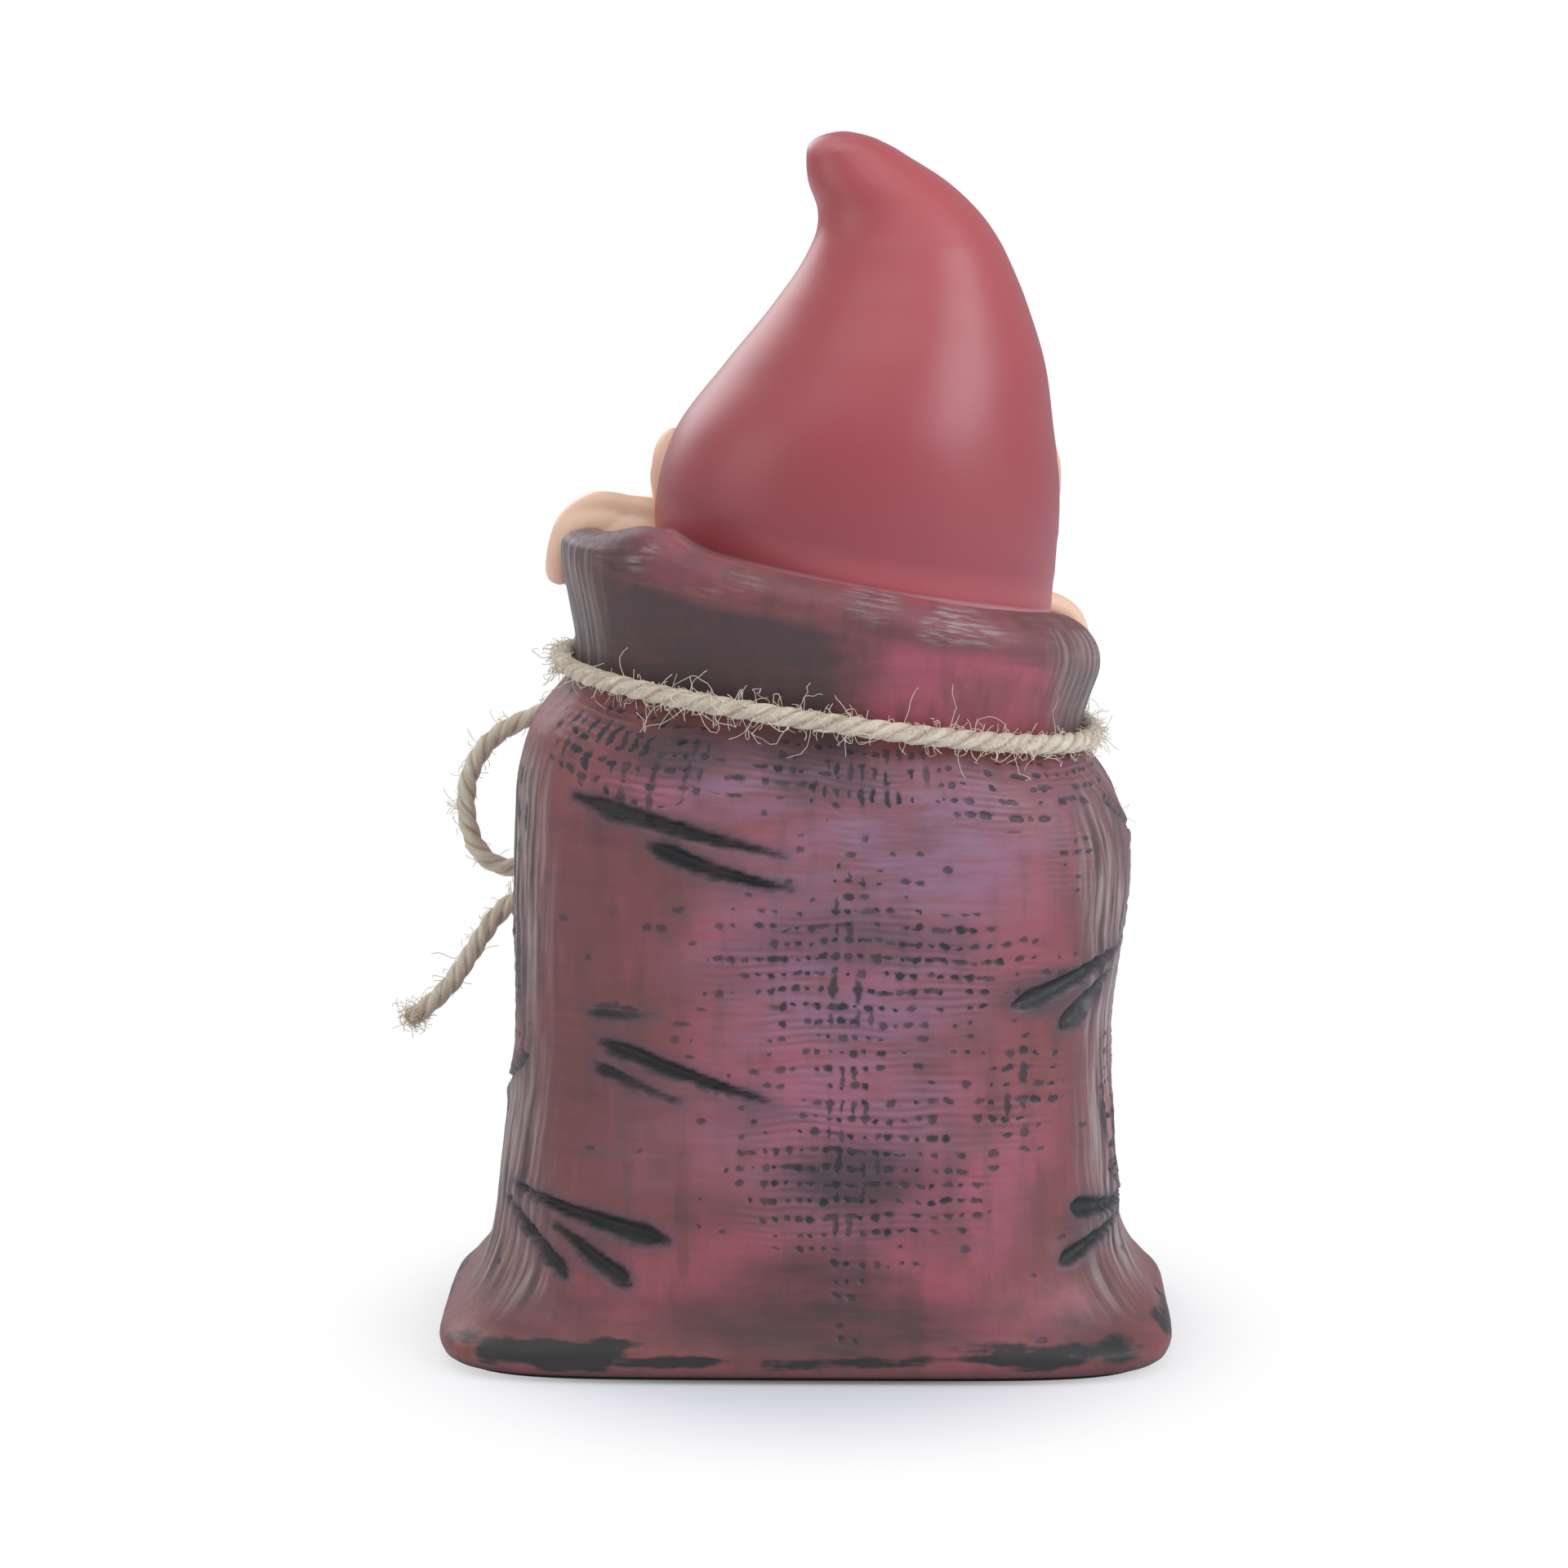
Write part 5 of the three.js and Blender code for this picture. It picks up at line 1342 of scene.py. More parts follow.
class NISSE_OT_sack(bpy.types.Operator):
    """Hollow sack with its rolled rim, pressed folds and moulded weave."""

    bl_idname = "nisse.sack"
    bl_label = "Sack"

    def execute(self, context):
        angles = columns_round(SACK_COLUMNS)
        fine = smooth_rows(OUTER_LEVELS, np.linspace(0, len(OUTER_LEVELS) - 1, 4000))
        profile = np.stack([(fine[:, 1] + fine[:, 2]) / 2, fine[:, 0]], 1)
        run = np.concatenate([[0], np.cumsum(norms(np.diff(profile, axis=0)))])
        stops = np.linspace(0, run[-1], round(run[-1] / ROW_STEP) + 1)
        levels = np.stack([np.interp(stops, run, fine[:, i]) for i in range(8)], 1)
        edge = 1 - np.sqrt(1 - (1 - unit(stops)) ** 2)
        levels[:, 1:3] -= FOOT_ROUND * edge[:, None]
        grid = np.array([sack_ring(level, angles) for level in levels])
        normals = grid_normals(grid)
        flat = grid.reshape(-1, 3)
        groove, relief = groove_fields(flat)
        size = sizes()
        relief = relief * size.groove_scale
        rise = np.repeat(stops, SACK_COLUMNS)
        outer = rise < stops[-1] - INNER_LIP
        soft = bump_field(flat, 26, 1, 2) * 0.5 + bump_field(flat, 7, 2, 2) * 0.12
        # The cast's own unevenness shows little near the felt
        calm = unit((flat[:, 2] - 3) / 6)
        relief = relief + self.gathers(flat, np.tile(angles, len(stops))) + soft * calm
        relief = np.where(outer, relief, relief * 0.3)
        flat = flat + normals.reshape(-1, 3) * relief[:, None]
        level_at = np.interp(stops, run, np.linspace(0, len(OUTER_LEVELS) - 1, len(run)))
        level_at = np.repeat(level_at, SACK_COLUMNS)
        flat[:, 2] += crest_wave(flat, level_at)
        inner = np.array([sack_ring(level, angles) for level in INNER_LEVELS])
        verts = np.vstack([flat, inner.reshape(-1, 3)])
        rings = len(stops) + len(INNER_LEVELS)
        faces = stack_faces(rings, SACK_COLUMNS, True)
        rises = np.concatenate([stops, stops[-1] + 10 * np.arange(1, len(INNER_LEVELS) + 1)])
        around = angles / math.tau * CLOTH_ROUND
        lap = CLOTH_ROUND / SACK_COLUMNS
        uv = []
        for i in range(rings):
            low, high = rises[i], rises[(i + 1) % rings]
            for j in range(SACK_COLUMNS):
                uv += [(around[j], low), (around[j] + lap, low), (around[j] + lap, high), (around[j], high)]
        fields = self.fields(verts, groove, level_at)
        fields["cloth_across"] = np.tile(around, rings) * MM
        fields["cloth_up"] = np.repeat(rises, SACK_COLUMNS) * MM
        sack = piece("sack_cast", verts, faces, uv, fields)
        material = sack_material()
        sack = through(sack, weave_relief_tree(), {
            "Across": size.weave_across, "Up": size.weave_up, "Depth": size.weave_depth,
            "Material": material})
        settle(sack, material, "sack", "sack")
        return {"FINISHED"}

    @staticmethod
    def gathers(points, angles):
        """Small pleats above and below the tied neck, and standing ridges down both sides."""
        height = points[:, 2] - NECK_SLOPE * points[:, 0] - NECK_HEIGHT
        near = np.exp(-((height / 11) ** 2))
        side = unit((np.abs(points[:, 0] + 2) - 47) / 10)
        pleats = np.sin(angles * 46 + 2.2 * np.sin(angles * 5)) * 0.42 * near
        ridges = np.sin(angles * 92 + 1.5 * np.sin(points[:, 2] / 14)) * 0.22 * side
        band = unit((points[:, 2] - 12) / 10) * unit((120 - points[:, 2]) / 6)
        return pleats * (0.35 + 0.65 * side) + ridges * band

    @staticmethod
    def fields(verts, groove, level_at):
        """Where each paint lies on the sack, as values at its points."""
        x, y, z = verts.T
        more = len(verts) - len(groove)
        outer = np.arange(len(verts)) < len(groove)
        at = np.concatenate([level_at, np.full(more, 20.0)])
        fields = {
            "groove": np.concatenate([groove, np.full(more, 6.0)]),
            "open_weave": np.maximum(patch_field(verts, OPEN_WEAVE, 0.6), 0.012),
            "level_dash": patch_field(verts, LEVEL_DASHES, 0.6),
            "upright_dash": patch_field(verts, UPRIGHT_DASHES, 0.4),
            "bloom": patch_field(verts, LILAC_AND_SHEEN, 1.0),
            "rosy": patch_field(verts, ROSY, 1.1),
            "base_edge": patch_field(verts, BASE_BANDS, 0.9),
        }
        below = unit((NECK - 0.25 - at) * 8)
        for key in ("open_weave", "level_dash", "upright_dash", "bloom"):
            fields[key] = fields[key] * below
        # Painted shade: the tied neck under the twine and the roll's underside are dark, but for a red patch
        # behind
        red = unit((-x - 2) / 16) * unit((x + 54) / 10) * (y > 0)
        neck = unit((at - NECK + 0.1) * 8) * unit((NECK + 1.1 - at) * 4)
        tied = np.exp(-(((at - NECK) / 0.13) ** 2)) * np.clip((x + 30) / 40, 0.3, 1)
        corner = unit((np.abs(x + 4) - 26) / 14) * (at > NECK + 0.9) * (at < CREST - 0.1)
        roll = unit((at - NECK - 0.8) * 4) * unit((CREST - 0.4 - at) * 3)
        rim = np.maximum(neck * (1 - red), roll * 0.36)
        rim = np.maximum(rim, corner * (0.85 - 0.35 * (x < 0)))
        # Painted shade inside the mouth
        inside = unit((at - CREST) * 3)
        foot = unit((4.2 - z) / 2.5) * 0.62
        wash = np.maximum.reduce([patch_field(verts, DARK_WASH_AND_SHADOW, 0.9), tied * 0.8, rim, inside * 0.75, foot])
        # Lilac scuffs and rosier paint on the roll's upper face, also a painted highlight there
        scuff = unit((at - NECK - 0.95) * 3) * unit((CREST + 0.4 - at) * 3)
        scuff *= (0.5 + 0.4 * np.sin(x * 0.11 + y * 0.06 + 2.0)) * np.clip((44 - x) / 10, 0.15, 1)
        fields["rosy"] = np.maximum(fields["rosy"], np.maximum(neck * red * 0.9, scuff * 0.6))
        # Grey lilac down both sides and on the rim's ends, also a painted reflection along the side edges
        streak = unit((np.abs(x + 2) - 50) / 6) * unit((z - 10) / 8)
        sides = unit((np.abs(x + 4) - 42) / 8) * (at > NECK - 0.2) * (at < CREST - 1)
        fields["streak"] = np.maximum(streak * unit((122 - z) / 5), sides * 0.9)
        fields["wash"], fields["scuff"] = wash, unit(scuff)
        for key in fields:
            if key not in ("groove", "wash"):
                fields[key] = np.where(outer, fields[key], 0)
        return fields


def felt_material():
    """Thin craft felt: matted wool fibres, matt and a little hairy."""
    material, wires, shader = finish_material("pressed_wool_felt", {"Roughness": 0.95, "Sheen Weight": 0.3})
    hairs = wires.grain((2200, 2200, 2200), 4.0, 0.7)
    dark = colours().felt
    tone = wires.mixed(wires.fac(hairs, 0.35, 0.65), dark, tuple(c * 1.8 for c in dark))
    coat(wires, shader, tone, hairs, 0.0003, 0.8)
    return material


class NISSE_OT_felt(bpy.types.Operator):
    """Felt sheet under the foot."""

    bl_idname = "nisse.felt"
    bl_label = "Felt base"

    def execute(self, context):
        angles = columns_round(160)
        # Height of each ring, and how far it is drawn in
        rows = [(0.0, 1.0), (0.0, 0.25), (0.15, 0.05), (0.6, 0.0), (1.05, 0.05), (1.2, 0.25), (1.2, 1.0)]
        rings = []
        for z, inset in rows:
            half = (FELT_HALF[0] - inset, FELT_HALF[1] - inset)
            x, y = superellipse(half, FELT_SQUARENESS, angles)
            rings.append(np.stack([x, y, np.full(len(x), z)], 1))
        settle(piece("felt_sheet", *stacked(rings)), felt_material(), "felt", "felt_base")
        return {"FINISHED"}


# ---- head, face, hands ----


def skin_material():
    """Painted skin: smooth satin acrylic, rosy on the swells, brown wash and painted shade in the creases."""
    material, wires, shader = finish_material(SKIN, {"Roughness": 0.42})
    tint = colours()
    clouds = wires.fac(wires.grain((60, 60, 60), 3.0), 0.35, 0.75, 0.0, 0.22)
    rose = wires.mixed(wires.read("rosy"), wires.mixed(clouds, tint.skin, tint.blush), tint.blush)
    # Painted shade: brown in the creases and on the back of the head under the hat, along with the wash
    worn = wires.mixed(wires.fac(wires.read("hollow"), 0.12, 0.6, 0.0, 0.75), rose, tint.skin_shade)
    coat(wires, shader, worn, wires.grain((700, 700, 700)), 0.0001, 0.5)
    return material


def hair_material():
    """Carved hair: off-white satin paint, grey wash deep in the locks."""
    material, wires, shader = finish_material("antiqued_white_locks", {"Roughness": 0.5})
    clouds = wires.grain((120, 120, 120), 3.0)
    broken = wires.plus(wires.read("hollow"), wires.stray(clouds, 0.12))
    tone = wires.mixed(wires.fac(broken, 0.0, 0.4, 0.0, 0.9), colours().beard, colours().beard_shade)
    coat(wires, shader, tone, clouds, 0.0002, 0.5)
    return material


def eye_material():
    """Painted eye: gloss white, iris, pupil and a dot of white, a painted glint."""
    material, wires, shader = finish_material("gloss_painted_eye", {"Roughness": 0.12})
    middle, spark = wires.read("from_middle"), wires.read("from_spark")
    paint = (0.86, 0.84, 0.8)
    # Rim of the iris, iris, pupil and spark: its distance, outer and inner edge, paint
    for far, outer, inner, tone in (
        (middle, 2.45, 2.2, (0.03, 0.025, 0.03)), (middle, 2.15, 1.95, colours().iris),
        (middle, 1.35, 1.15, (0.01, 0.01, 0.01)), (spark, 0.6, 0.45, (0.9, 0.9, 0.9)),
    ):
        paint = wires.mixed(wires.fac(far, outer, inner), paint, tone)
    coat(wires, shader, paint)
    return material


HEAD_COLUMNS = 96


def head_rings(straight, count, grow=0.0):
    """Rings of the head at the heights of its straight part and over its dome, larger if asked."""
    angles = columns_round(HEAD_COLUMNS)
    steps = [(z, 1.0) for z in straight]
    for i in range(1, count):
        a = i / count * math.pi / 2
        steps.append((BROW_Z + (CROWN_Z - BROW_Z) * math.sin(a), math.cos(a)))
    return [np.stack([
        HEAD_X + (HEAD_HALF[0] * s + grow) * np.cos(angles),
        HEAD_Y + (HEAD_HALF[1] * s + grow) * np.sin(angles), np.full(HEAD_COLUMNS, z + grow)], 1)
        for z, s in steps]


def on_head(x, z, out=0.0):
    """Point on the head's front at a place across from its middle and up, so far out of it."""
    share = math.sqrt(max(0.0, 1 - (max(0.0, z - BROW_Z) / (CROWN_Z - BROW_Z)) ** 2))
    half = (HEAD_HALF[0] * share, HEAD_HALF[1] * share)
    y = half[1] * math.sqrt(max(0.0, 1 - (x / half[0]) ** 2))
    normal = Vector((x / half[0] ** 2, -y / half[1] ** 2, 0)).normalized()
    return (HEAD_X + x + normal.x * out, HEAD_Y - y + normal.y * out, z)


EYE_X, EYE_Z = 10.5, BROW_Z + 10.5
PLUG_HEIGHTS = (126.4, 135, 144.1)
EAR_SIZE, EAR_HOLLOW, CHEEK_SIZE = (10, 12, 20), (4.2, 9, 12), (20, 14, 16)
NOSE_SIZE, NOSTRIL_SIZE = (18, 18, 17.4), (8.5, 9, 8)
# How deep a hand is bedded in the rim, and how far it keeps off the head
HAND_BED, HAND_GAP = 0.35, 0.05
# Upper and lower lid: route across and up from the eye, how far it stands out, and its radii
LIDS = (
    (((-6, -0.5), (-4, 3.4), (0, 5.4), (4, 3.8), (6.3, 0)), 0.6, (0.8, 1.7, 1.9, 1.7, 0.8)),
    (((-6, -0.8), (-3.6, -3.8), (0, -5.2), (3.8, -3.8), (6.3, -0.2)), 0.3, (0.6, 1.2, 1.3, 1.2, 0.6)),
)


class NISSE_OT_head(bpy.types.Operator):
    """Head with its ears, cheeks and lids, its plug in the sack's mouth and its two painted eyes."""

    bl_idname = "nisse.head"
    bl_label = "Head"

    def execute(self, context):
        skin = skin_material()
        angles = columns_round(HEAD_COLUMNS)
        half = (MOUTH_HALF[0] - GAP, MOUTH_HALF[1] - GAP)
        plug = [sack_ring((z, *half, NECK_SQUARENESS, NECK_SHIFT, NECK_SLOPE, 0, 0), angles)
                for z in PLUG_HEIGHTS]
        forms = [stacked(head_rings(np.linspace(PLUG_HEIGHTS[0], BROW_Z, 30), 30)), stacked(plug)]
        side_at_ear = HEAD_HALF[0] * math.sqrt(1 - (5 / 35) ** 2)
        for side in (-1, 1):
            ear_x = HEAD_X + side * (side_at_ear + 2)
            forms.append(ball((ear_x, EAR_Y, EAR_Z), EAR_SIZE))
            forms.append(ball((HEAD_X + side * 15, HEAD_Y - 27.9, BROW_Z), CHEEK_SIZE))
            for places, out, radii in LIDS:
                lid = [on_head(side * (EYE_X + dx), EYE_Z + dz, out) for dx, dz in places]
                forms.append(limb(lid, radii))
        lip = [on_head(dx, BROW_Z - 12.5 - 0.02 * dx * dx, 1.6) for dx in (-6, -3, 0, 3, 6)]
        forms.append(limb(lip, [1.0, 1.9, 2.2, 1.9, 1.0]))
        hollows = [
            ball((HEAD_X + side * (side_at_ear + 6.3), HEAD_Y - 10.5, EAR_Z + 0.5), EAR_HOLLOW,
                 about("z", side * 0.35)) for side in (-1, 1)
        ]
        head = cast("head_cast", forms, hollows, voxel=0.75, rounds=7)
        store_hollows(head.data)
        co = in_mm(head)
        # Painted shade under the hat: the back of the head is darkened like a crease
        darken(head.data, unit((co[:, 1] + 3) / 4) * 0.6)
        rosy = np.zeros(len(co))
        for side in (-1, 1):
            rosy = np.maximum(rosy, glow(co, on_head(side * 16, BROW_Z), 0.85, 8.5))
            rosy = np.maximum(rosy, glow(co, (HEAD_X + side * 39, EAR_Y, EAR_Z), 0.4, 8))
        lips = norms((co - np.array(on_head(0, BROW_Z - 12.8, 2))) * (0.5, 1, 1.3))
        store(head.data, "rosy", np.maximum(rosy, unit(1.6 - lips / 2.6)))
        settle(head, skin, "skin", "head")
        self.eyes()
        return {"FINISHED"}

    @staticmethod
    def eyes():
        material = eye_material()
        width = sizes().eye / MM
        for name, side in (("eye_left", 1), ("eye_right", -1)):
            center = np.array(on_head(side * EYE_X, EYE_Z, -2.4))
            turn = about("z", side * 0.33)
            verts, faces = ball(center, (width, 8.2, width * 0.98), turn, 32)
            front = np.array(on_head(side * EYE_X, EYE_Z, 1.6))
            look = verts - front
            across = look[:, 0] + side * 0.4
            far = np.hypot(across, look[:, 2] + 0.2)
            spark = np.hypot(across + 0.75, look[:, 2] - 0.75)
            back = verts[:, 1] > center[1]
            eye = piece(name, verts, faces, None, {
                "from_middle": np.where(back, 9, far), "from_spark": np.where(back, 9, spark)})
            settle(eye, material, "skin")


# Half of the moustache: across, ahead of the face, up, and how much of a lock's own lift it takes
MOUSTACHE = (
    (0.6, -4.6, 2.0, 0.5), (6, -5.6, 1.2, 1), (12, -3.4, -0.8, 1),
    (17, 0.2, -3.0, 0.6), (20.5, 2.4, -1.4, 0.4),
)


def lock_relief(mesh, source, pitch, depth, seed, wave=0.5):
    """Carves wavy locks that fan out from a point above the beard or brow."""
    co, normals = mesh_points(mesh) / MM, mesh_normals(mesh)
    off = co - np.asarray(source, float)
    angle = np.arctan2(off[:, 0], -off[:, 2])
    reach = np.hypot(off[:, 0], off[:, 2])
    bend = bump_field(co, 15, seed, 2) * wave
    phase = angle * 34 / pitch + bend * 3 + 0.6 * np.sin(reach / 5)
    ridge = 1 - np.abs(np.sin(phase)) ** 0.8
    hairs = np.abs(np.sin(phase * 4.3 + bump_field(co, 6, seed + 1, 1)))
    drop = depth * ridge + depth * 0.22 * hairs
    move_points(mesh, co - normals * drop[:, None])


class NISSE_OT_face_hair(bpy.types.Operator):
    """Nose, moustache, brows and the beard that hangs over the rim."""

    bl_idname = "nisse.face_hair"
    bl_label = "Nose, moustache, brows and beard"

    def execute(self, context):
        white = hair_material()
        front = HEAD_Y - HEAD_HALF[1]
        nose = cast("nose_cast", [
            ball((HEAD_X, front - 3, BROW_Z + 3), NOSE_SIZE),
            *(ball((HEAD_X + across, front - 1.6, BROW_Z + 0.6), NOSTRIL_SIZE) for across in (-6.2, 6.2)),
        ], voxel=0.5, rounds=5)
        store_hollows(nose.data)
        co = in_mm(nose)
        store(nose.data, "rosy", np.clip(0.75 - (co[:, 1] - front + 12) / 14, 0.1, 0.75))
        settle(nose, bpy.data.materials[SKIN], "nose", "nose")
        self.moustache(white, front)
        self.brows(white)
        self.beard(white)
        return {"FINISHED"}

    @staticmethod
    def moustache(white, front):
        forms = []
        z = BROW_Z - 6.0
        for side in (-1, 1):
            for lift, thick, out in ((0.8, 3.9, 3.4), (-1.6, 3.5, 4.4), (-3.4, 2.8, 5.0)):
                route = [(HEAD_X + side * across, front + ahead - out, z + up + lift * share)
                         for across, ahead, up, share in MOUSTACHE]
                forms.append(limb(route, [thick * 0.8, thick, thick * 0.85, thick * 0.5, 0.5]))
        hair = cast("moustache_cast", forms, voxel=0.45, rounds=3)
        mesh = hair.data
        co, normals = mesh_points(mesh) / MM, mesh_normals(mesh)
        level = co[:, 2] - z + np.abs(co[:, 0] - HEAD_X) * 0.14
        lines = np.abs(np.sin(level * 2.1 + bump_field(co, 9, 5, 1)))
        move_points(mesh, co - normals * (0.42 * (1 - lines) ** 1.5)[:, None])
        store_hollows(mesh)
        settle(hair, white, "hair", "moustache")

    @staticmethod
    def brows(white):
        for name, side in (("brow_left", 1), ("brow_right", -1)):
            draw = random.Random(17 + side)
            forms = [limb([on_head(side * (EYE_X + dx), EYE_Z + 7.2 + dz, 0.6) for dx, dz in
                           ((-6, -1.2), (-2, 0.3), (3, 0.5), (8, -1.4))], [1.0, 1.7, 1.7, 0.9])]
            for i in range(11):
                dx = -6.4 + 1.35 * i + draw.uniform(-0.3, 0.3)
                dz = 7.0 - 0.035 * (dx - 1) ** 2 + draw.uniform(-0.5, 0.5)
                lean = 0.6 + 0.28 * i
                tuft = [on_head(side * (EYE_X + dx), EYE_Z + dz - 1.0, 0.6),
                        on_head(side * (EYE_X + dx + lean * 0.5), EYE_Z + dz + 0.8, 2.0),
                        on_head(side * (EYE_X + dx + lean), EYE_Z + dz + 2.1 - 0.12 * i, 1.9)]
                forms.append(limb(tuft, [0.9, 1.15, 0.45], 0.4))
            brow = cast(name, forms, voxel=0.35, rounds=2)
            store_hollows(brow.data, 1)
            settle(brow, white, "hair")

    @staticmethod
    def beard(white):
        z = BROW_Z - 16
        chin = (HEAD_X, -37.2, z - 2.2)
        forms = [ball((HEAD_X, HEAD_Y - 2, z), (71, 74, 36), rings=40), ball(chin, (40, 25, 25), rings=28)]
        draw = random.Random(4)
        for row, (count, drop, size) in enumerate(((7, 2, 7.0), (8, -5, 6.6), (6, -11, 5.6))):
            for i in range(count):
                share = (i + 0.5 * (row % 2)) / (count - 1) * 2 - 1
                x = share * (27 - 3.5 * row)
                y = -38.5 + 13 * abs(share) ** 2 - (3.4 if row < 2 else 2.0)
                top = (HEAD_X + x * 0.75, y + 3.6, z + 8 + drop * 0.7)
                mid = (HEAD_X + x + draw.uniform(-1.2, 1.2), y - 2.4, z + 1 + drop)
                low = (HEAD_X + x * 0.92 + draw.uniform(-1.6, 1.6), y - 1.4, z - 5.5 + drop * 0.55)
                tip = (HEAD_X + x * 0.84 + draw.uniform(-1.4, 1.4), y - 0.8, z - 9.5 + drop * 0.3)
                forms.append(limb([top, mid, low, tip], [1.2, size / 2, size / 2.4, 1.5]))
        cutters = [block((-80, -6.5, 100), (80, 80, 240)), sack_mould(), head_mould()]
        beard = cast("beard_cast", forms, cutters, voxel=0.65, rounds=3)
        lock_relief(beard.data, (HEAD_X, 0, z + 34), 1.2, 0.5, 21, 0.8)
        store_hollows(beard.data)
        settle(beard, white, "hair", "beard")


def block(low, high):
    """Closed box between two corners."""
    verts = [(x, y, z) for z in (low[2], high[2]) for y in (low[1], high[1]) for x in (low[0], high[0])]
    faces = [(0, 2, 3, 1), (4, 5, 7, 6), (0, 1, 5, 4), (1, 3, 7, 5), (3, 2, 6, 7), (2, 0, 4, 6)]
    return np.array(verts, float), faces


def sack_mould(gap=GAP):
    """Closed copy of the sack's upper outside, a little larger, that other pieces are cut by."""
    angles = columns_round(120)
    at = np.linspace(WAIST, CREST + 1, 72)
    levels = smooth_rows(OUTER_LEVELS, at)
    rings = []
    for place, level in zip(at, levels):
        grow = gap * max(-1.0, min(1.0, 1 + 2 * (CREST - place)))
        lift = gap * max(0.0, min(1.0, place - CREST + 2))
        ring = sack_ring((level[0] + lift, level[1] + grow, level[2] + grow, *level[3:]), angles)
        ring[:, 2] += crest_wave(ring, place)
        rings.append(ring)
    last = np.array(levels[-1])
    rings.append(sack_ring((last[0] - 24, last[1] - gap, last[2] - gap, *last[3:]), angles))
    return stacked(rings)


def head_mould(gap=GAP):
    """Closed copy of the head, a little larger, that hat, beard and hands are cut by."""
    return stacked(head_rings((110, BROW_Z), 24, gap))


def hat_material():
    """Hat: smooth red satin paint, sprayed, with a soft sheen and hardly a mark; painted shade low on it,
    painted bounce light just above the rim.
    """
    material, wires, shader = finish_material("satin_red_on_smooth_cast", {
        "Roughness": 0.42, "Coat Weight": 0.35, "Coat Roughness": 0.32})
    tint = colours()
    place = add(wires.tree, "ShaderNodeTexCoord").outputs["Object"]
    height = add(wires.tree, "ShaderNodeSeparateXYZ", {0: place}).outputs["Z"]
    # Painted shade: darker, rosier red towards the hat's bottom
    paint = wires.mixed(wires.fac(height, 0.225, 0.165), tint.hat, tint.hat_rose_and_shade)
    clouds = wires.fac(wires.grain((26, 26, 22), 3.0), 0.55, 0.3, 0.0, 0.5)
    paint = wires.mixed(clouds, paint, tuple(c * 0.8 for c in tint.hat))
    # Painted bounce light: lighter, rosier red just above the rim
    near = wires.read("near_rim")
    paint = wires.mixed(wires.fac(near, 0.1, 1.0, 0.0, 0.85), paint, tint.hat_rim_bounce)
    # The paint stops short of the cast's sharp edges, where the pink undercoat shows
    edge = wires.fac(wires.read("hollow"), -0.16, -0.45, 0.0, 0.6)
    bare = wires.most(edge, wires.fac(near, 0.9, 0.97))
    coat(wires, shader, wires.mixed(bare, paint, tint.undercoat), wires.grain((500, 500, 500)), 0.00006, 0.5)
    return material


class NISSE_OT_hat(bpy.types.Operator):
    """Pointed hat that leans to one side, open round the face."""

    bl_idname = "nisse.hat"
    bl_label = "Hat"

    def execute(self, context):
        rows = np.array(HAT_ROWS)
        at = np.linspace(0, len(rows) - 1, 150)
        angles = columns_round(144)
        values = rows_by_rise(rows, at)
        rings = []
        for rise, centre, width, depth in values:
            x = HEAD_X + HAT_HALF[0] * (centre + width * np.cos(angles))
            y = HEAD_Y + HAT_HALF[1] * depth * np.sin(angles)
            lean = max(0.0, 1 - rise * 4)
            z = HEM_Z + rise * (TIP_Z - HEM_Z) + lean * (RIM_LEAN[0] * x + RIM_LEAN[1] * y)
            rings.append(np.stack([x, y, z], 1))
        cutters = [sack_mould(), self.opening(), head_mould()]
        hat = cast("hat_cast", [stacked(rings)], cutters, voxel=0.7, rounds=10, before=0)
        store_hollows(hat.data, 1)
        co = in_mm(hat)
        share = np.clip((co[:, 0] - NECK_SHIFT) / CREST_HALF[0], -1, 1)
        over = co[:, 2] - crest_height(co[:, 0], co[:, 1], share) - crest_wave(co, CREST)
        store(hat.data, "near_rim", unit(1 - over / 8))
        settle(hat, hat_material(), "hat", "hat")
        return {"FINISHED"}

    @staticmethod
    def opening():
        """Everything in front of the hat's edge: a side outline carried right across."""
        side = [(-110, 90), (OPENING_Y, 90), (OPENING_Y, EAR_Z - 10)]
        for start, control, end in (
            ((OPENING_Y, EAR_Z - 10), (OPENING_Y, EAR_Z + 10), (-14, OPENING_Z - 2)),
            ((-14, OPENING_Z - 2), (-20, OPENING_Z), (-27.6, OPENING_Z)),
        ):
            for i in range(1, 13):
                t = i / 12
                side.append(tuple((1 - t) ** 2 * a + 2 * t * (1 - t) * b + t * t * c
                                  for a, b, c in zip(start, control, end)))
        side.append((-110, OPENING_Z))
        count = len(side)
        verts = [(-90, y, z) for y, z in side] + [(90, y, z) for y, z in side]
        faces = [tuple(range(count)), tuple(range(2 * count - 1, count - 1, -1))]
        for i in range(count):
            j = (i + 1) % count
            faces.append((i, i + count, j + count, j))
        verts = np.array(verts, float)
        return verts, outward(verts, faces)


def rows_by_rise(rows, at):
    """Rows of the hat on a smooth curve over their rise."""
    values = smooth_rows(rows, at)
    rises = np.interp(at, np.arange(len(rows)), rows[:, 0])
    values[:, 0] = np.maximum.accumulate(0.5 * values[:, 0] + 0.5 * rises)
    return values


FINGER_PITCH = 5


def crest_height(x, y, share):
    """Height of the rim's crest, which leans and rises at both ends."""
    return CREST_Z + RIM_LEAN[0] * x + RIM_LEAN[1] * y + RIM_LEAN[2] * share**2


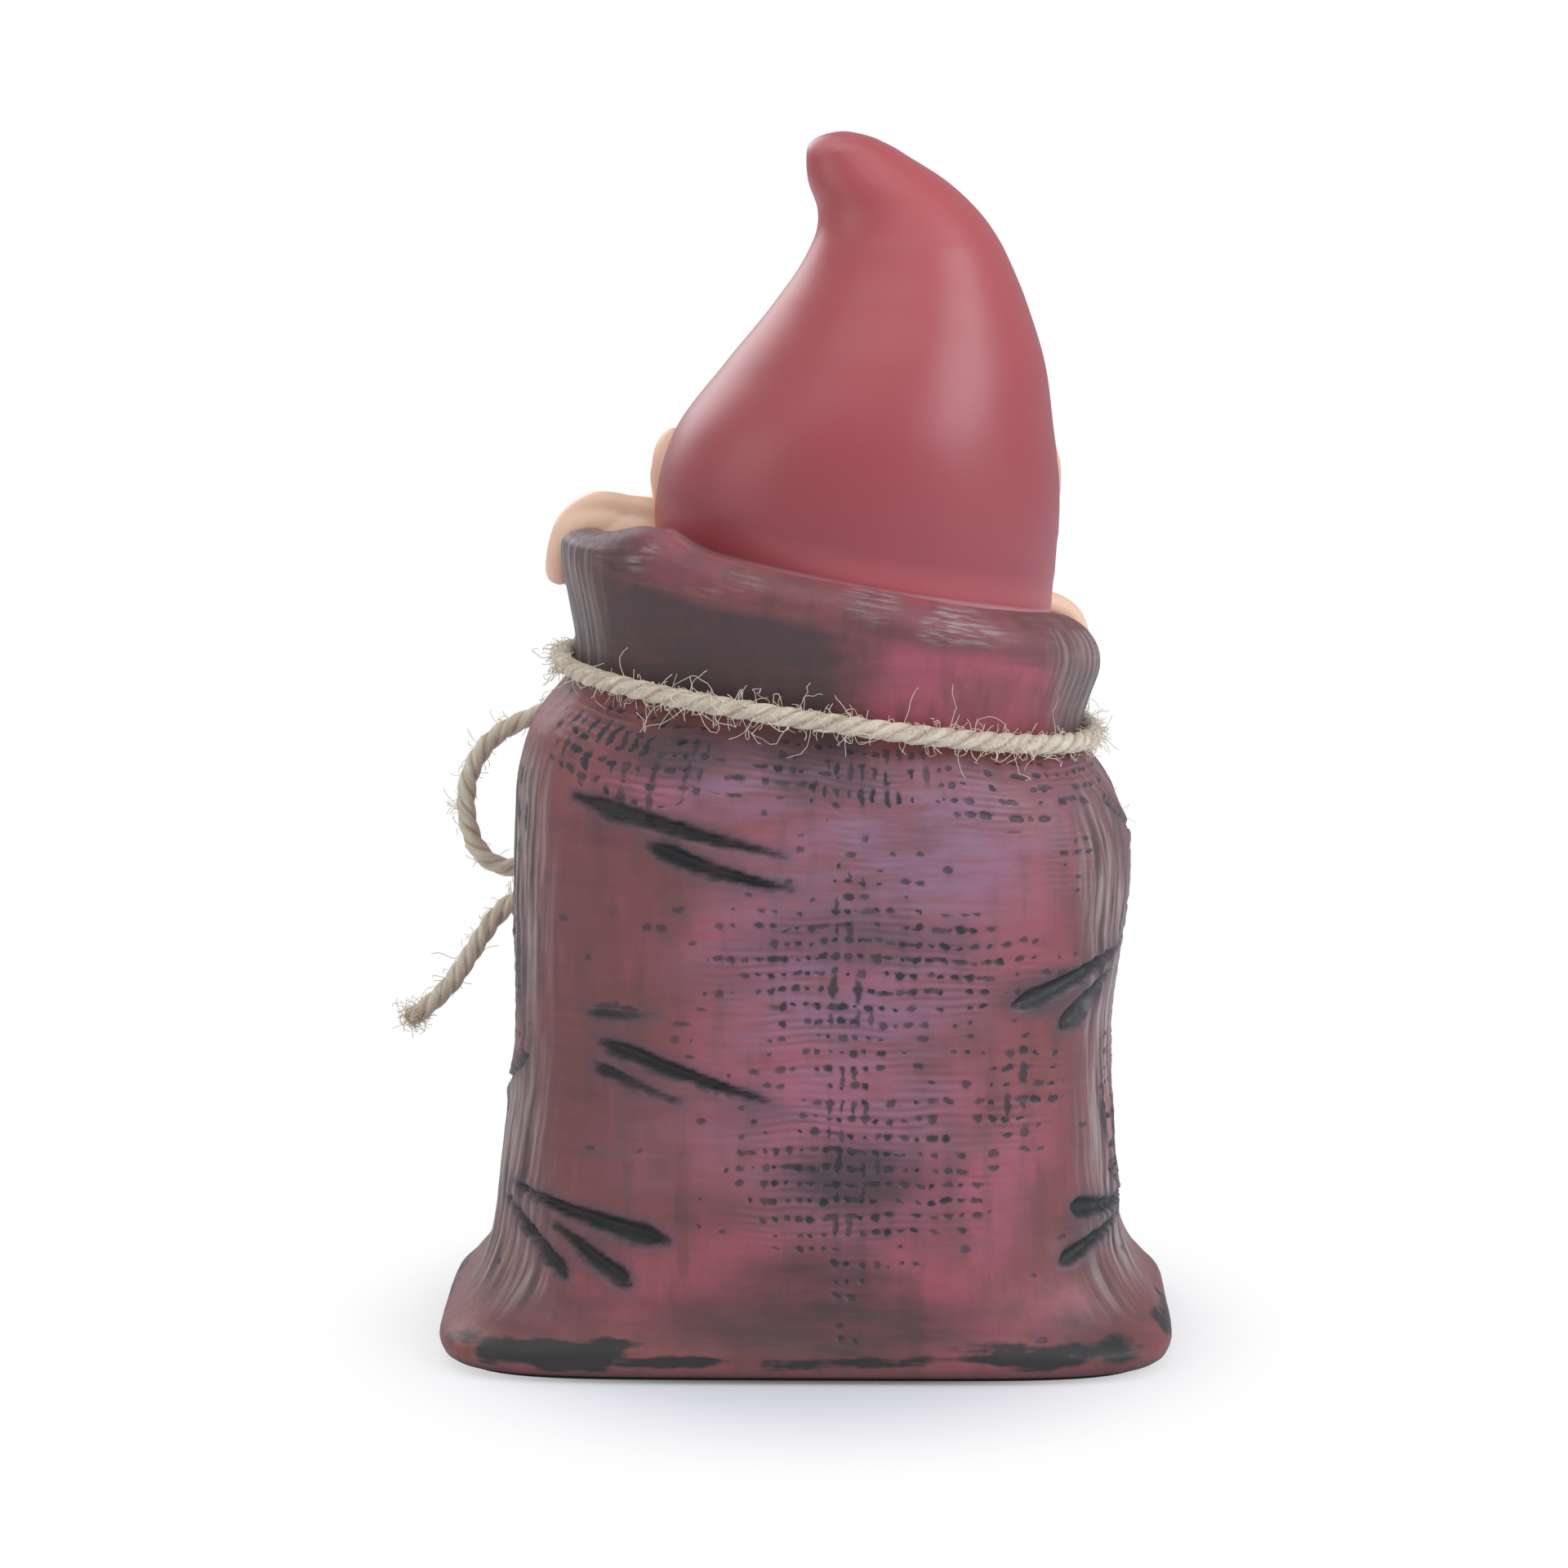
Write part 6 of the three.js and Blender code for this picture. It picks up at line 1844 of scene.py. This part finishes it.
def rim_place(side, y):
    """Place on the rim's crest at a given y, and the way out from it."""
    share = side * math.sqrt(1 - (y / CREST_HALF[1]) ** 2)
    x = NECK_SHIFT + CREST_HALF[0] * share
    out = Vector((share / CREST_HALF[0], y / CREST_HALF[1] ** 2, 0)).normalized()
    return Vector((x, y, crest_height(x, y, share))), out


def over_rim(side, y, out, rise):
    """Place so far out from the rim's crest, and so far above it."""
    place, outward_way = rim_place(side, y)
    return tuple(place + outward_way * out + Vector((0, 0, rise)))


def finger_places(hand_y):
    """Where the four fingers lie over the rim."""
    return [hand_y + (finger - 1.5) * FINGER_PITCH for finger in range(4)]


class NISSE_OT_hands(bpy.types.Operator):
    """Two hands that hold on to the rolled rim."""

    bl_idname = "nisse.hands"
    bl_label = "Hands"

    def execute(self, context):
        skin = bpy.data.materials[SKIN]
        for name, side, hand_y in (("left_hand", 1, -13.0), ("right_hand", -1, -21.0)):
            # Bedded a little into the rim, so that no ragged cut edge shows
            cutters = [sack_mould(-HAND_BED), head_mould(HAND_GAP)]
            hand = cast(f"{name}_cast", self.forms(side, hand_y), cutters, voxel=0.5, rounds=7)
            store_hollows(hand.data, 4)
            co = in_mm(hand)
            rosy = np.zeros(len(co))
            for y in finger_places(hand_y):
                rosy = np.maximum(rosy, glow(co, over_rim(side, y, 6.5, -8), 0.5, 3.5))
            store(hand.data, "rosy", rosy)
            settle(hand, skin, "skin", name)
        return {"FINISHED"}

    @staticmethod
    def forms(side, hand_y):
        top, over, drop = 0.9, 7.7, 8.5
        arch = 1.6 if side > 0 else 0.0
        forms = []
        for y, thick in zip(finger_places(hand_y), (2.7, 2.95, 3.0, 2.8)):
            route = [over_rim(side, y, -6, top + arch), over_rim(side, y, 0, top + 0.3 + arch),
                     over_rim(side, y, over * 0.72, top - 2.6 + arch / 2), over_rim(side, y, over, -drop),
                     over_rim(side, y, over - 0.1, -drop - 4.8)]
            if side > 0:
                route = [over_rim(side, y, -17, -3), over_rim(side, y, -11, top + 0.6)] + route
            radii = [thick, thick * 1.08, thick * 1.04, thick * 1.08, thick * 0.95]
            forms.append(limb(route, radii if side < 0 else [thick, thick] + radii))
        _, out = rim_place(side, hand_y)
        turn = about("z", math.atan2(out.y, out.x))
        forms.append(ball(over_rim(side, hand_y, -4.5, 0), (18, 22, 7), turn))
        forms.append(limb([over_rim(side, hand_y, -6, 0), over_rim(side, hand_y, -9, -7),
                           over_rim(side, hand_y, -9, -14)], [5.5, 5.5, 5.5]))
        forms.append(limb([over_rim(side, hand_y - 5.5, -4.5, 1), over_rim(side, hand_y - 9.9, -1, top),
                           over_rim(side, hand_y - 13.2, 1.5, top - 1)], [3.0, 3.0, 2.6]))
        if side > 0:
            # The back of the hand and its heel, seen from behind
            for ahead, out, rise, size in (
                (0, -5, -4.4, (32, 22, 20.4)), (2, -7, -3.6, (26, 21, 17)), (6, -3, -1.6, (24, 12.5, 11.5)),
            ):
                forms.append(ball(over_rim(side, hand_y + ahead, out, rise), size))
        return forms


class NISSE_PT_figure(bpy.types.Panel):
    """Sizes, colours and pieces of the figure."""

    bl_idname = "NISSE_PT_figure"
    bl_label = "Nisse figure"
    bl_space_type = "VIEW_3D"
    bl_region_type = "UI"
    bl_category = "Nisse"

    def draw(self, context):
        for group in (context.scene.nisse_sizes, context.scene.nisse_colours):
            box = self.layout.box()
            for key in group.bl_rna.properties.keys():
                if key not in ("rna_type", "name"):
                    box.prop(group, key)
        for operator in OPERATORS:
            self.layout.operator(operator.bl_idname)


OPERATORS = (
    NISSE_OT_stage, NISSE_OT_twine, NISSE_OT_sack, NISSE_OT_felt, NISSE_OT_head,
    NISSE_OT_face_hair, NISSE_OT_hat, NISSE_OT_hands,
)
CLASSES = (NisseSizes, NisseColours, *OPERATORS, NISSE_PT_figure)


def register():
    for each in CLASSES:
        bpy.utils.register_class(each)
    bpy.types.Scene.nisse_sizes = PointerProperty(type=NisseSizes)
    bpy.types.Scene.nisse_colours = PointerProperty(type=NisseColours)


def unregister():
    del bpy.types.Scene.nisse_colours
    del bpy.types.Scene.nisse_sizes
    for each in reversed(CLASSES):
        bpy.utils.unregister_class(each)


def main():
    """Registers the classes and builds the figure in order."""
    register()
    for operator in OPERATORS:
        area, call = operator.bl_idname.split(".")
        getattr(getattr(bpy.ops, area), call)()


if __name__ == "__main__":
    main()
